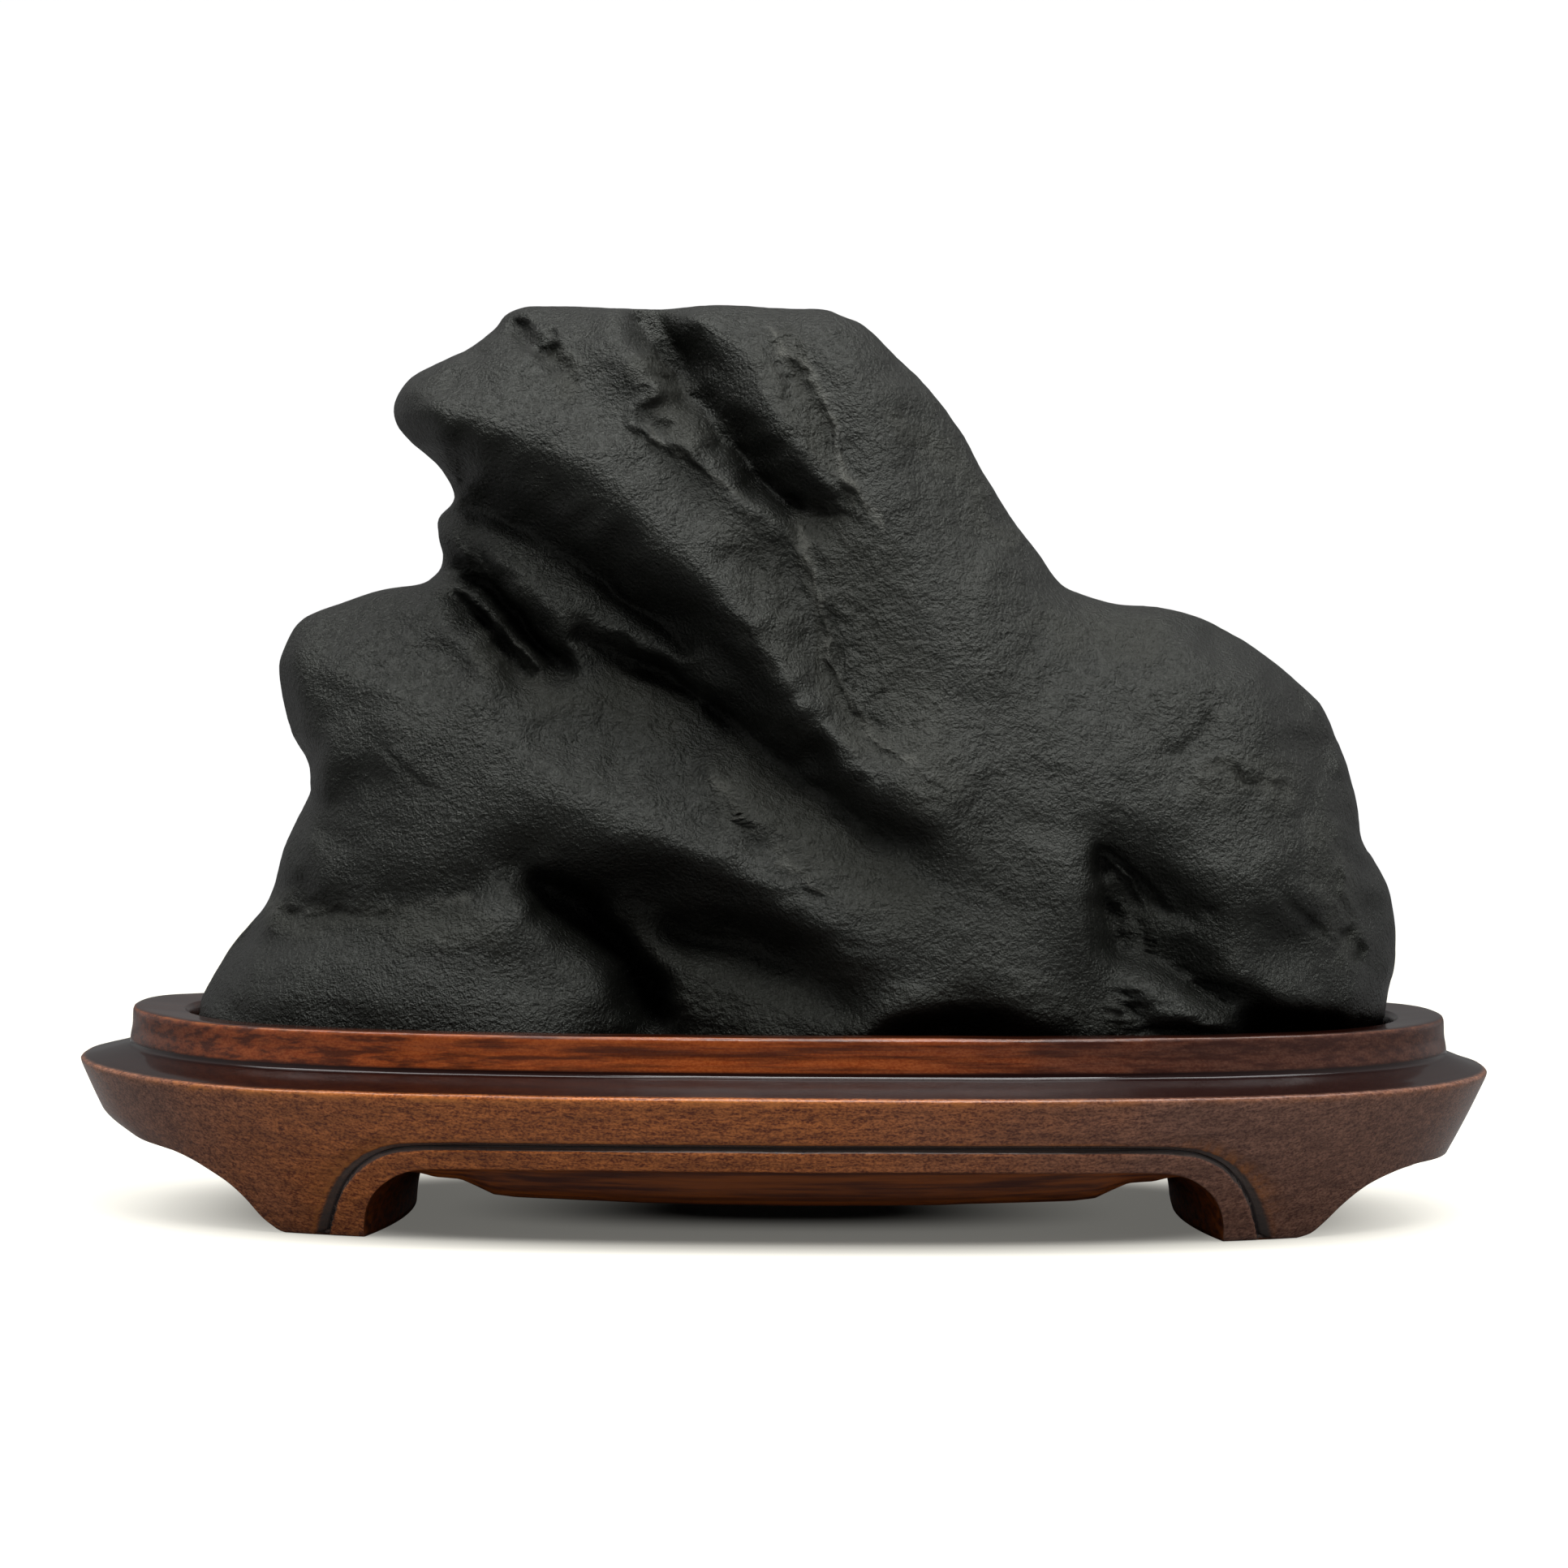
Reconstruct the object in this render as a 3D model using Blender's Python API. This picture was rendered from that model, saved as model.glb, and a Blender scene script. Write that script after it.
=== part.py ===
"""A black scholars rock in its carved wooden stand, at its real size, in metres, +Z up.

The rock is one stone. Its outline is a closed curve in the XZ plane, and its front and back are reliefs
that pass through crest and valley lines, each with its own sharpness. Its trimmed foot drops into the seat
of the stand. The stand is one carved block: a moulded oval with a collar round the seat, cut from below
into two runner legs with a bellied underside between them.
"""

import math

import bmesh
import bpy
import numpy as np

MM = 0.001

# Stand, in millimetres
LEDGE_HALF_LENGTH = 100.2
LEDGE_HALF_DEPTH = 48.0
PLAN_POWER = 2.5
STAND_SEGMENTS = 84
COLLAR_HEIGHT = 28.6
COLLAR_SHIFT = 0.6
SEAT_HALF_LENGTH = 85.95
SEAT_HALF_DEPTH = 35.0
SEAT_SHIFT = 1.05
SEAT_FLOOR = 21.7
SOLE_INSET = 10.4
LEG_SHIFT = 1.2
UNDERCUT_REACH = 52.0
BELLY_DROP = 5.8
BELLY_POWER = 6
BELLY_SETBACK = 1.5
BELLY_END = 53.0
BELLY_STATIONS = [0.0, 12.0, 22.0, 29.0, 34.0, 37.5, 40.0, 42.0, 44.0, UNDERCUT_REACH]
APRON_HEIGHT = 10.4
LEG_SPREAD = 0.078
GROOVE_WIDTH = 1.1
GROOVE_FLOOR_WIDTH = 0.66
GROOVE_DEPTH = 0.8
CUTTER_CLEARANCE = 1.0

# Outside of the stand, from the floor up, as insets from the ledge's edge and heights: the sloping wall,
# the ledge with the cove up to the collar, the collar's wall and rim
WALL_PROFILE = [(SOLE_INSET, 0.0), (9.7, 0.6), (7.9, 4.4), (5.3, 9.6), (2.4, 15.2), (0.4, 19.4), (0.0, 20.3)]
LEDGE_PROFILE = [(0.5, 20.9), (4.6, 21.9)]
COLLAR_PROFILE = [(6.0, 22.6), (6.6, 23.8), (6.8, 25.4), (6.8, 27.9), (7.3, 28.4), (8.2, COLLAR_HEIGHT)]

# Inside of the collar, from the rim down to the seat's floor: spread beyond the seat's size, height
SEAT_PROFILE = [(0.9, COLLAR_HEIGHT), (0.2, 28.3), (0.0, 27.6), (0.0, 22.5), (-0.8, SEAT_FLOOR)]

# Half of the arch between the legs, from the leg's inner edge at the floor to the middle of the apron
ARCH = [(57.9, -2.0), (57.9, 0.0), (57.4, 4.2), (56.8, 5.8), (55.2, 7.4), (53.4, 8.5), (51.0, 9.2),
        (46.5, 9.9), (30.0, 10.2), (14.0, 10.4)]

# Undercut beyond each leg, from the leg's outer edge at the floor to past the end of the stand
END_UNDERCUT = [(69.9, -2.0), (69.9, 0.0), (71.2, 2.2), (74.4, 4.6), (77.4, 6.3), (80.6, 7.5),
                (84.8, 8.3), (89.0, 8.6), (104.0, 8.6), (104.0, -2.0)]

# Half of the groove that follows the arch on the stand's front and back
GROOVE = [(61.3, -1.0), (61.1, 2.2), (60.6, 4.7), (59.6, 7.4), (57.4, 10.1), (54.4, 12.0), (50.6, 13.0),
          (45.0, 13.5), (30.0, 13.8), (15.0, 13.9), (0.0, 13.9)]

# Rock, in millimetres
ROCK_FOOT = 22.0
ROCK_CENTRE = (4.0, 69.0)
WINDING_STARTS = 32.0
WINDING_RISE = 28.0
OUTLINE_STEP = 2.0
FINEST_LINE_STEP = 1.5
RIM_RADIUS = 0.5
RIM_BELOW_FOOT_TOP = 2.0
LEAST_THICKNESS = 0.5
SPOKES = 280
RINGS = 60
ROCK_TRIANGLES = 5600
FOOT_HALF_LENGTH = 85.2
FOOT_HALF_DEPTH = 34.2
FOOT_TOP = 29.5
FOOT_FLARE = 1.6

# Outline of the rock, seen from the front, anticlockwise from the top; the last stretch is the foot
OUTLINE_SIDES = [
    (5, 128.8), (0, 128.9), (-10.5, 129.4), (-18, 128.8), (-25, 129), (-34, 129), (-37.4, 128.7),
    (-39.7, 127.4), (-41.2, 125.4), (-45.5, 122), (-50, 120), (-52.9, 118.4), (-54.9, 116.3),
    (-55.6, 114.3), (-55.3, 112.3), (-53.8, 110), (-51.2, 107.8), (-48.9, 105.5), (-47.1, 101.8),
    (-49.3, 98.8), (-49.3, 96.7), (-48.7, 93.8), (-48.9, 91.8), (-50, 90.3), (-51.8, 89.2), (-57.5, 88),
    (-63.2, 86.1), (-69, 83.8), (-71.5, 80), (-72.2, 76.5), (-71.1, 69), (-68.2, 63.4), (-67.8, 60.5),
    (-70, 55.5), (-72, 50.6), (-74.3, 43.7), (-78.9, 37.4), (-82.9, 30.5), (-83.8, 28), (-83.8, 22),
]
OUTLINE_FOOT = [(-60, 22), (-30, 22), (0, 22), (30, 22), (60, 22)]
OUTLINE_RIGHT = [
    (85.6, 22), (86, 28.5), (87.1, 38.2), (86.5, 46), (84.2, 50.7), (82.7, 53.6), (81.3, 59.4),
    (79.8, 65.5), (77.2, 72.1), (74.8, 74.8), (68, 80.4), (62.8, 83.5), (58.8, 85.3), (53, 86.8),
    (47, 87.2), (42, 88.6), (38.8, 90.3), (35.6, 94.6), (31.8, 99.5), (28, 105.5), (24.8, 111.3),
    (20, 117.6), (15, 122.5), (12, 125.5), (10, 127), (7.7, 127.9),
]

# Crest and valley lines of the front: rounding radius, then points as X, Z and distance out from Y = 0
FRONT = {
    "top_ridge_crest": (5, [
        (-52, 116, 10), (-46, 116, 14), (-40, 113.5, 16.5), (-34, 110.5, 18), (-28, 107, 19.5),
        (-22, 101.5, 21), (-16, 95, 22.5), (-11, 89, 23.5), (-6, 83, 25), (-2, 77.5, 26), (3, 71, 28),
        (8, 65.5, 29.5), (13, 61, 30.5), (18, 57, 31), (23, 51, 31)]),
    "top_ridge_upper_face": (8, [
        (-40, 120, 11), (-30, 118, 12.5), (-24, 114, 14.5), (-18, 107, 17), (-12, 102, 18),
        (-7, 95, 19.5), (-3, 88, 21.5)]),
    "top_ridge_shoulder": (6, [(-36, 123.5, 8), (-30, 124, 8.5)]),
    "top_ridge_underside": (4, [
        (-50, 110, 12.5), (-44, 107.5, 15.5), (-38, 105, 16.5), (-32, 102, 17), (-27, 98, 17.5),
        (-22, 93, 17.5), (-17, 88.5, 17.5), (-12, 83.5, 18), (-7, 77.5, 19.5), (-3, 72.5, 20.5),
        (2, 67.5, 22.5), (7, 62.5, 25), (12, 58.5, 27), (17, 54.5, 28.5)]),
    "upper_valley": (0.8, [
        (-47, 101, 2), (-42, 99, 6), (-36, 97, 9), (-31, 94.5, 10), (-27, 90.5, 10), (-23, 86.5, 10),
        (-18.5, 83.5, 11), (-14.5, 80, 12.5)]),
    "thin_ridge": (3, [
        (-47.5, 96.5, 5), (-42, 94.5, 10), (-36, 91.5, 13), (-30, 87.5, 14), (-25, 84, 14),
        (-20, 81.8, 14), (-15, 79, 14), (-11, 75.5, 14.5)]),
    "middle_valley": (0.8, [
        (-29, 82, 11.5), (-25, 80.5, 10), (-20, 78.8, 9), (-15, 76.5, 10), (-11, 72.5, 11.5),
        (-7, 69.3, 13), (-3, 66.3, 15), (1, 63.5, 17), (5, 60.7, 19), (9, 57.7, 21.5), (13, 54.2, 24.5),
        (16, 51, 27.5)]),
    "thin_ridge_underside": (3, [(-40, 91, 11.5), (-35, 86, 13), (-31, 80.5, 13.5), (-27, 77, 13.5)]),
    "crack": (0.8, [
        (-48, 91.5, 2.5), (-44.5, 90.3, 4.5), (-41, 88.2, 5), (-38, 85, 5.5), (-35, 81.5, 7),
        (-32, 78, 9.5), (-29.5, 75.8, 13)]),
    "rib_in_crack": (0.6, [
        (-46.8, 88.8, 6), (-43, 86.8, 9.5), (-40, 84, 11), (-37.3, 81, 12), (-35, 78.3, 12.8)]),
    "lower_crack": (0.8, [
        (-46.5, 87, 6), (-43.5, 84.8, 7), (-41, 82, 8.5), (-39, 79, 10), (-36.5, 76.5, 12)]),
    "below_cracks": (5, [
        (-47, 83.5, 11), (-43, 80.5, 13), (-40, 77, 15), (-36, 74, 16.5), (-30, 72.5, 16.5)]),
    "middle_ridge_shoulder": (5, [(-66, 82.5, 7), (-60, 82, 10), (-54, 82, 11), (-48, 79, 13.5)]),
    "middle_ridge_crest": (5, [
        (-69, 78.5, 8), (-65, 77.3, 11.5), (-60, 76, 14.5), (-55, 74.3, 17), (-50, 71.8, 19.5),
        (-45, 69.2, 21.5), (-40, 66.3, 23), (-35, 64, 24.5), (-30, 61.5, 26), (-25, 59, 27),
        (-20, 56.6, 28), (-15, 54.3, 28.7), (-10, 52, 29.5), (-5, 49.5, 30.3), (0, 46.5, 31.3),
        (5, 42.5, 32.4), (10, 38.5, 33), (14, 35, 33)]),
    "middle_ridge_upper_face": (8, [(-32, 68, 20.5), (-24, 66, 20.5), (-17, 63, 22), (-11, 58.5, 25)]),
    "eye_hollow": (3, [(-23, 75, 12.5), (-20, 73.5, 12.5)]),
    "middle_ridge_underside": (6, [
        (-68, 72, 10.5), (-62, 70, 15), (-56, 67, 19), (-50, 63.5, 22), (-44, 60.5, 24), (-38, 58, 25.3),
        (-32, 55.5, 26), (-26, 53.5, 26.5), (-20, 51.5, 26.5), (-14, 49.5, 26.8), (-8, 46.5, 27.5),
        (-3, 44, 28)]),
    "left_face": (6, [(-66, 62, 11.5), (-62, 60, 16), (-55, 57, 21), (-48, 54, 24), (-42, 52, 24.5)]),
    "left_face_foot": (6, [(-68, 52, 12), (-60, 50, 19.5), (-52, 48.5, 23), (-45, 48.5, 24)]),
    "hollow_upper_edge": (1.2, [
        (-37, 50.5, 23), (-31, 49, 22), (-25, 47.5, 20.5), (-19, 46, 20), (-13, 43.5, 21), (-7, 42, 21.5),
        (-2, 40.5, 22.5), (3, 38, 26)]),
    "hollow_bottom": (1.2, [(-33, 46, 19), (-28, 42.5, 15), (-23, 39, 13), (-19, 34.5, 12), (-18, 29, 12)]),
    "hollow_right_arm": (1.2, [(-15, 41, 14), (-8, 39.5, 17), (-2, 37, 21), (4, 34, 25), (8, 31.5, 28)]),
    "foot_mound": (3, [(-17, 38.5, 15), (-12, 37.5, 18), (-6, 36, 20.5), (0, 33.5, 24), (5, 31, 27.5)]),
    "foot_mound_base": (3, [(-15, 29, 18.5), (-10, 30, 22.5), (-4, 28.5, 25.5), (2, 27, 28)]),
    "left_ledge_foot": (0.8, [
        (-70, 45.3, 11), (-65, 44.3, 16), (-60, 43.8, 19.5), (-55, 44.3, 21.8), (-50, 45, 23.3),
        (-45, 46, 23.8), (-42, 47.5, 23.8)]),
    "left_ledge_crest": (1, [
        (-72, 42, 10.5), (-66, 41.3, 17), (-60, 41, 20.5), (-55, 41.2, 23.3), (-50, 41.5, 25.3),
        (-46, 42, 26), (-43, 43.5, 26), (-40, 46.5, 25.5), (-36.5, 46.3, 25), (-33.5, 43, 24.5),
        (-30, 39.5, 24), (-26.5, 36.5, 23.5), (-23.5, 33, 23), (-22, 29, 22.5)]),
    "left_bulge": (6, [
        (-78, 36, 9), (-72, 36, 17), (-65, 36, 22), (-58, 36, 25.5), (-50, 36, 28), (-42, 37.5, 28.5),
        (-35, 36.5, 28), (-29, 33.5, 27.5)]),
    "left_bulge_base": (6, [
        (-80, 29, 12), (-74, 29, 19.5), (-66, 29, 24), (-58, 29, 27), (-48, 29, 30), (-38, 29, 31),
        (-30, 29, 29.5), (-25, 29, 27)]),
    "top_groove": (0.8, [
        (-20, 127, 3), (-18, 124.5, 4.5), (-16, 121.5, 6), (-14.5, 118, 8), (-12.5, 115, 10),
        (-10, 112, 11), (-7.5, 109.5, 11.5), (-5, 106.5, 11.5), (-2.5, 103.5, 12), (0, 101.5, 13),
        (3, 100.4, 15), (6, 99.8, 17.5), (8.5, 99, 18.8)]),
    "top_groove_left_lip": (1, [
        (-24, 127, 6.5), (-22, 124, 9.5), (-20, 121, 11), (-18, 118.5, 12), (-16.5, 116, 12.8),
        (-17.5, 113.5, 14), (-15, 111.5, 15), (-12, 108.5, 16), (-9, 106, 17), (-6, 103, 17.8),
        (-3, 100, 18.5), (0, 97.5, 19)]),
    "small_ridge_beside_groove": (3, [
        (-13, 127, 7), (-10, 124, 9.5), (-7, 120.5, 12), (-4.5, 116.5, 14.5), (-2.5, 112.5, 16.5),
        (0, 108.5, 17.8), (3, 105, 18.8), (6, 102.5, 19)]),
    "shallow_groove": (1, [
        (-1.5, 124, 9), (1.5, 120.5, 11.5), (3.5, 116, 13.5), (5.5, 111, 15.5), (7, 106.5, 17),
        (9, 102.5, 18)]),
    "right_slope": (10, [
        (5, 124, 10), (9, 119, 12.5), (12, 112, 15), (15, 104, 17), (19, 96, 18.5), (24, 88, 20),
        (29, 79, 22.5), (30, 68, 26), (30, 57, 29), (30, 47, 31), (24, 42, 32.5), (22, 35, 33.5)]),
    "right_slope_edge": (8, [(20, 112, 8.5), (26, 103, 9), (31, 95, 10), (36, 88, 12.5)]),
    "neck": (5, [(40, 83, 14.5), (46, 81, 15)]),
    "dome_top": (10, [(44, 74, 21), (54, 77, 18.5), (62, 76, 17), (68, 70, 18)]),
    "dome_upper_face": (10, [(40, 66, 26), (50, 66, 25), (60, 66, 23.5)]),
    "dome_middle": (10, [(50, 58, 28), (60, 56, 27.5), (70, 56, 23.5), (76, 60, 14)]),
    "dome_lower_face": (10, [(60, 48, 29.5), (70, 46, 26), (78, 50, 16.5)]),
    "dome_right_foot": (6, [(66, 38, 27.5), (74, 38, 23), (80, 40, 15.5)]),
    "dome_lower_edge": (1, [
        (60, 37.5, 28.5), (64, 35, 27.5), (68, 33.3, 26), (73, 31.8, 22.5), (78, 31, 17.5), (83, 30, 10)]),
    "dome_undercut": (2, [(64, 30, 19), (70, 29, 16.5), (76, 28.6, 12)]),
    "upper_floor_edge": (1.5, [
        (0, 96.5, 18.7), (3.2, 87.5, 20.3), (5, 77, 22.8), (8.3, 69.8, 25.2), (11, 67.2, 27)]),
    "upper_floor": (5, [(10, 94, 19.5), (12, 86, 20.6), (14, 78, 22.2), (16, 71, 24.6)]),
    "lower_floor_edge": (1, [
        (-10, 62.5, 23), (-5, 57.8, 25.9), (0, 52, 28.3), (6.5, 47, 30.8)]),
    "lower_floor": (4, [(-6, 64.5, 18.5), (0, 60, 22), (5, 56, 24.8), (9, 52, 27.3), (13, 48, 29.5)]),
    "pillar": (3, [(34, 50, 30.8), (36, 44, 31.8), (38, 38, 32.3), (38, 31, 32)]),
    "pillar_right_edge": (2, [
        (40, 56, 28.3), (41, 50, 29), (41.5, 44, 29.5), (42, 38, 30), (43, 31, 30.5)]),
    "side_hollow": (1, [
        (43.5, 54.5, 27.5), (44.5, 52, 23), (44.5, 47, 20), (45.5, 43, 18.5), (46.5, 39, 19.5),
        (45.8, 35.5, 24)]),
    "side_hollow_arm": (1, [(47, 51, 22.5), (50, 48.8, 21.5), (53, 46.8, 22), (57, 44.5, 25)]),
    "side_hollow_inside": (3, [(48.5, 45, 18), (49.5, 41, 19.5)]),
    "side_hollow_slope": (3, [(54, 43, 23.5), (57, 40, 25.5)]),
    "toe_seam": (0.8, [(48, 38, 22), (51, 38.8, 22.5), (53.5, 36.8, 23), (56.5, 35, 23.5), (60, 34.2, 24.5)]),
    "toe": (2.5, [(48, 35, 27.5), (52, 35, 29), (56, 32.5, 29.5), (60, 31, 27.5)]),
    "toe_base": (3, [(50, 30, 30.5), (57, 29, 29)]),
    "foot_arch_edge": (1, [
        (10, 30.5, 32), (15, 31, 32.5), (20, 31.8, 32.5), (24, 33.5, 32.3), (28, 33, 32.3), (32, 31, 32.2),
        (35, 29, 32)]),
    "foot_arch_inside": (1.5, [(16, 28, 27.5), (21, 28.5, 25), (26, 29.5, 24), (30, 28, 26)]),
}

# Crest and valley lines of the back, in the same form
BACK = {
    "top_ridge_crest": (6, [
        (-48, 112, 10), (-36, 106, 15), (-24, 99, 19), (-12, 92, 22), (0, 86, 24), (12, 80, 25.5),
        (24, 74, 26.5)]),
    "top_ridge_upper_face": (5, [(-34, 119, 10), (-22, 113, 13), (-10, 107, 15.5), (-2, 101, 18)]),
    "top_shoulder": (6, [(-24, 123, 8), (-8, 122, 9), (5, 118, 10.5)]),
    "top_groove": (1.5, [(18, 113, 7), (13.5, 107, 10.5), (9.5, 101, 14), (7, 95, 18)]),
    "beside_groove": (4, [(22, 104, 10.5), (19, 97, 14.5), (17, 90, 18.5)]),
    "upper_valley": (1, [
        (-46, 100, 4), (-34, 92, 11), (-20, 84, 15), (-6, 76, 18.5), (10, 70, 21.5), (24, 63, 24.5)]),
    "middle_ridge_crest": (6, [
        (-66, 76, 11), (-54, 70, 18), (-42, 66, 22.5), (-28, 61, 26), (-12, 56, 29), (4, 51, 31),
        (18, 47, 32.5)]),
    "hollow": (1, [(-38, 50, 21), (-26, 46, 19), (-14, 41, 20), (-4, 37, 23), (6, 33, 27)]),
    "left_face": (6, [(-64, 60, 16), (-52, 54, 22), (-44, 51, 23)]),
    "left_bulge": (6, [(-72, 38, 15), (-60, 38, 23), (-46, 38, 28), (-34, 38, 27), (-24, 34, 27)]),
    "right_slope": (8, [
        (28, 98, 9), (31, 90, 13.5), (36, 82, 17.5), (44, 77, 18), (56, 76, 17), (68, 70, 16)]),
    "dome": (8, [(46, 64, 25), (58, 62, 25), (70, 56, 21)]),
    "side_hollow": (1.5, [(48, 56, 27), (52, 48, 22), (54, 40, 21), (52, 33, 25)]),
    "dome_foot": (6, [(62, 46, 28), (72, 42, 23), (80, 44, 14)]),
    "pillar": (5, [(36, 50, 31), (38, 38, 32)]),
    "base": (6, [
        (-76, 29, 17), (-60, 29, 26.5), (-40, 29, 30.5), (-20, 29, 31), (0, 29, 33), (20, 29, 33),
        (40, 29, 31.5), (60, 29, 27), (76, 29, 18)]),
}


def clear_scene():
    for obj in list(bpy.data.objects):
        bpy.data.objects.remove(obj, do_unlink=True)


def make_material(name, colour, roughness):
    material = bpy.data.materials.new(name)
    material.use_nodes = True
    shader = material.node_tree.nodes["Principled BSDF"]
    shader.inputs["Base Color"].default_value = (*colour, 1.0)
    shader.inputs["Roughness"].default_value = roughness
    shader.inputs["Metallic"].default_value = 0.0
    return material


def make_object(name, points_mm, faces, material=None):
    """A closed mesh object from points in millimetres, its faces turned outwards."""
    mesh = bpy.data.meshes.new(name)
    mesh.from_pydata([tuple(point) for point in np.asarray(points_mm, float) * MM], [], faces)
    editable = bmesh.new()
    editable.from_mesh(mesh)
    bmesh.ops.recalc_face_normals(editable, faces=editable.faces)
    editable.to_mesh(mesh)
    editable.free()
    obj = bpy.data.objects.new(name, mesh)
    bpy.context.scene.collection.objects.link(obj)
    if material is not None:
        mesh.materials.append(material)
    return obj


def loft(name, rings, material=None):
    """A closed solid through rings of equally many points, capped at both ends."""
    count = len(rings[0])
    points = np.concatenate(rings)
    faces = [tuple(range(count)), tuple(range(len(points) - count, len(points)))]
    for ring in range(len(rings) - 1):
        low, high = ring * count, (ring + 1) * count
        for i in range(count):
            after = (i + 1) % count
            faces.append((low + i, low + after, high + after, high + i))
    return make_object(name, points, faces, material)


def cut(target, cutter):
    cutter.hide_render = True
    cutter.display_type = "WIRE"
    modifier = target.modifiers.new(cutter.name, "BOOLEAN")
    modifier.operation = "DIFFERENCE"
    modifier.solver = "EXACT"
    modifier.object = cutter


def smooth_curve(points, step, closed=False):
    """Points about one step apart on a Catmull-Rom curve through the given points."""
    given = np.array(points, float)
    if closed:
        padded = np.concatenate([given[-1:], given, given[:2]])
    else:
        padded = np.concatenate([[2 * given[0] - given[1]], given, [2 * given[-1] - given[-2]]])
    pieces = []
    for before, start, end, after in zip(padded, padded[1:], padded[2:], padded[3:]):
        count = max(1, round(math.dist(start[:2], end[:2]) / step))
        t = (np.arange(count) / count)[:, None]
        bend = (2 * before - 5 * start + 4 * end - after) * t ** 2
        twist = (3 * start - before - 3 * end + after) * t ** 3
        pieces.append(start + 0.5 * ((end - before) * t + bend + twist))
    if not closed:
        pieces.append(given[-1:])
    return np.concatenate(pieces)


# ---------------------------------------------------------------- stand

def plan_ring(half_length, half_depth, shift, height):
    """One level of the stand's oval plan, a superellipse."""
    turn = np.arange(STAND_SEGMENTS) / STAND_SEGMENTS * 2 * np.pi
    power = 2 / PLAN_POWER
    x = shift + half_length * np.sign(np.cos(turn)) * np.abs(np.cos(turn)) ** power
    y = half_depth * np.sign(np.sin(turn)) * np.abs(np.sin(turn)) ** power
    return np.column_stack([x, y, np.full_like(x, height)])


def wall_inset(height):
    """How far the outer wall stands inside the ledge's edge at a height below the ledge."""
    insets, heights = zip(*WALL_PROFILE)
    return np.interp(height, heights, insets)


def wall_depth(x, height):
    """Distance of the outer wall from Y = 0 at an X and a height."""
    inset = wall_inset(height)
    reach = np.clip(np.abs(x) / (LEDGE_HALF_LENGTH - inset), 0, 1)
    return (LEDGE_HALF_DEPTH - inset) * (1 - reach ** PLAN_POWER) ** (1 / PLAN_POWER)


def moulded_block(material):
    rings = []
    for profile, shift in ((WALL_PROFILE + LEDGE_PROFILE, 0.0), (COLLAR_PROFILE, COLLAR_SHIFT)):
        for inset, height in profile:
            rings.append(plan_ring(LEDGE_HALF_LENGTH - inset, LEDGE_HALF_DEPTH - inset, shift, height))
    for spread, height in SEAT_PROFILE:
        rings.append(plan_ring(SEAT_HALF_LENGTH + spread, SEAT_HALF_DEPTH + spread, SEAT_SHIFT, height))
    return loft("stand", rings, material)


def end_undercut(side):
    """The space beyond one leg, through the whole depth of the stand."""
    rings = []
    for y in (-UNDERCUT_REACH, UNDERCUT_REACH):
        rings.append(np.array([(LEG_SHIFT + side * x, y, z) for x, z in END_UNDERCUT]))
    return loft("end_undercut_" + ("right" if side > 0 else "left"), rings)


def belly_drop(x, y):
    """How far the underside hangs below the apron's edge, inside the apron."""
    edge = wall_depth(x, APRON_HEIGHT) - BELLY_SETBACK
    along = max(0.0, 1 - (abs(x) / BELLY_END) ** 4)
    across = max(0.0, 1 - (abs(y) / edge) ** BELLY_POWER)
    return BELLY_DROP * math.sqrt(along) * across


def arch_undercut():
    """The space between the legs, its roof sagging into the bellied underside."""
    rings = []
    profile = [(-x, z) for x, z in ARCH] + [(0.0, APRON_HEIGHT)] + ARCH[::-1]
    for y in [-value for value in BELLY_STATIONS[:0:-1]] + BELLY_STATIONS:
        spread = 1 - LEG_SPREAD * max(0.0, 1 - (y / LEDGE_HALF_DEPTH) ** 2)
        ring = []
        for x, z in profile:
            drop = belly_drop(x * spread, y) if z > 0 else 0.0
            ring.append((LEG_SHIFT + x * spread, y, z - drop))
        rings.append(np.array(ring))
    return loft("arch_undercut", rings)


def groove_cutter(side):
    """A bar that narrows inwards and follows the arch along the sloping wall."""
    route = [(-x, z) for x, z in GROOVE[:-1]] + GROOVE[::-1]
    section = [(-GROOVE_WIDTH, CUTTER_CLEARANCE), (GROOVE_WIDTH, CUTTER_CLEARANCE),
               (GROOVE_FLOOR_WIDTH, -GROOVE_DEPTH), (-GROOVE_FLOOR_WIDTH, -GROOVE_DEPTH)]
    rings = []
    for i, (x, z) in enumerate(route):
        before, after = route[max(i - 1, 0)], route[min(i + 1, len(route) - 1)]
        length = math.dist(before, after)
        across_x, across_z = -(after[1] - before[1]) / length, (after[0] - before[0]) / length
        x += LEG_SHIFT
        wall = wall_depth(x, z)
        ring = []
        for width, out in section:
            ring.append((x + across_x * width / 2, side * (wall + out), z + across_z * width / 2))
        rings.append(np.array(ring))
    return loft("groove_" + ("back" if side > 0 else "front"), rings)


def make_stand():
    stained_wood = make_material("stained_wood", (0.105, 0.032, 0.016), 0.3)
    stand = moulded_block(stained_wood)
    cut(stand, arch_undercut())
    for side in (-1, 1):
        cut(stand, end_undercut(side))
        cut(stand, groove_cutter(side))
    return stand


# ---------------------------------------------------------------- rock

def middle_surface(x, z):
    """The Y of the surface on which front and back meet, so that the rock's edge winds a little."""
    lift = np.clip((z - WINDING_STARTS) / WINDING_RISE, 0, 1)
    return lift * (np.sin(0.06 * z) - 2.5 * np.sin(0.045 * x + 0.8))


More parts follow.
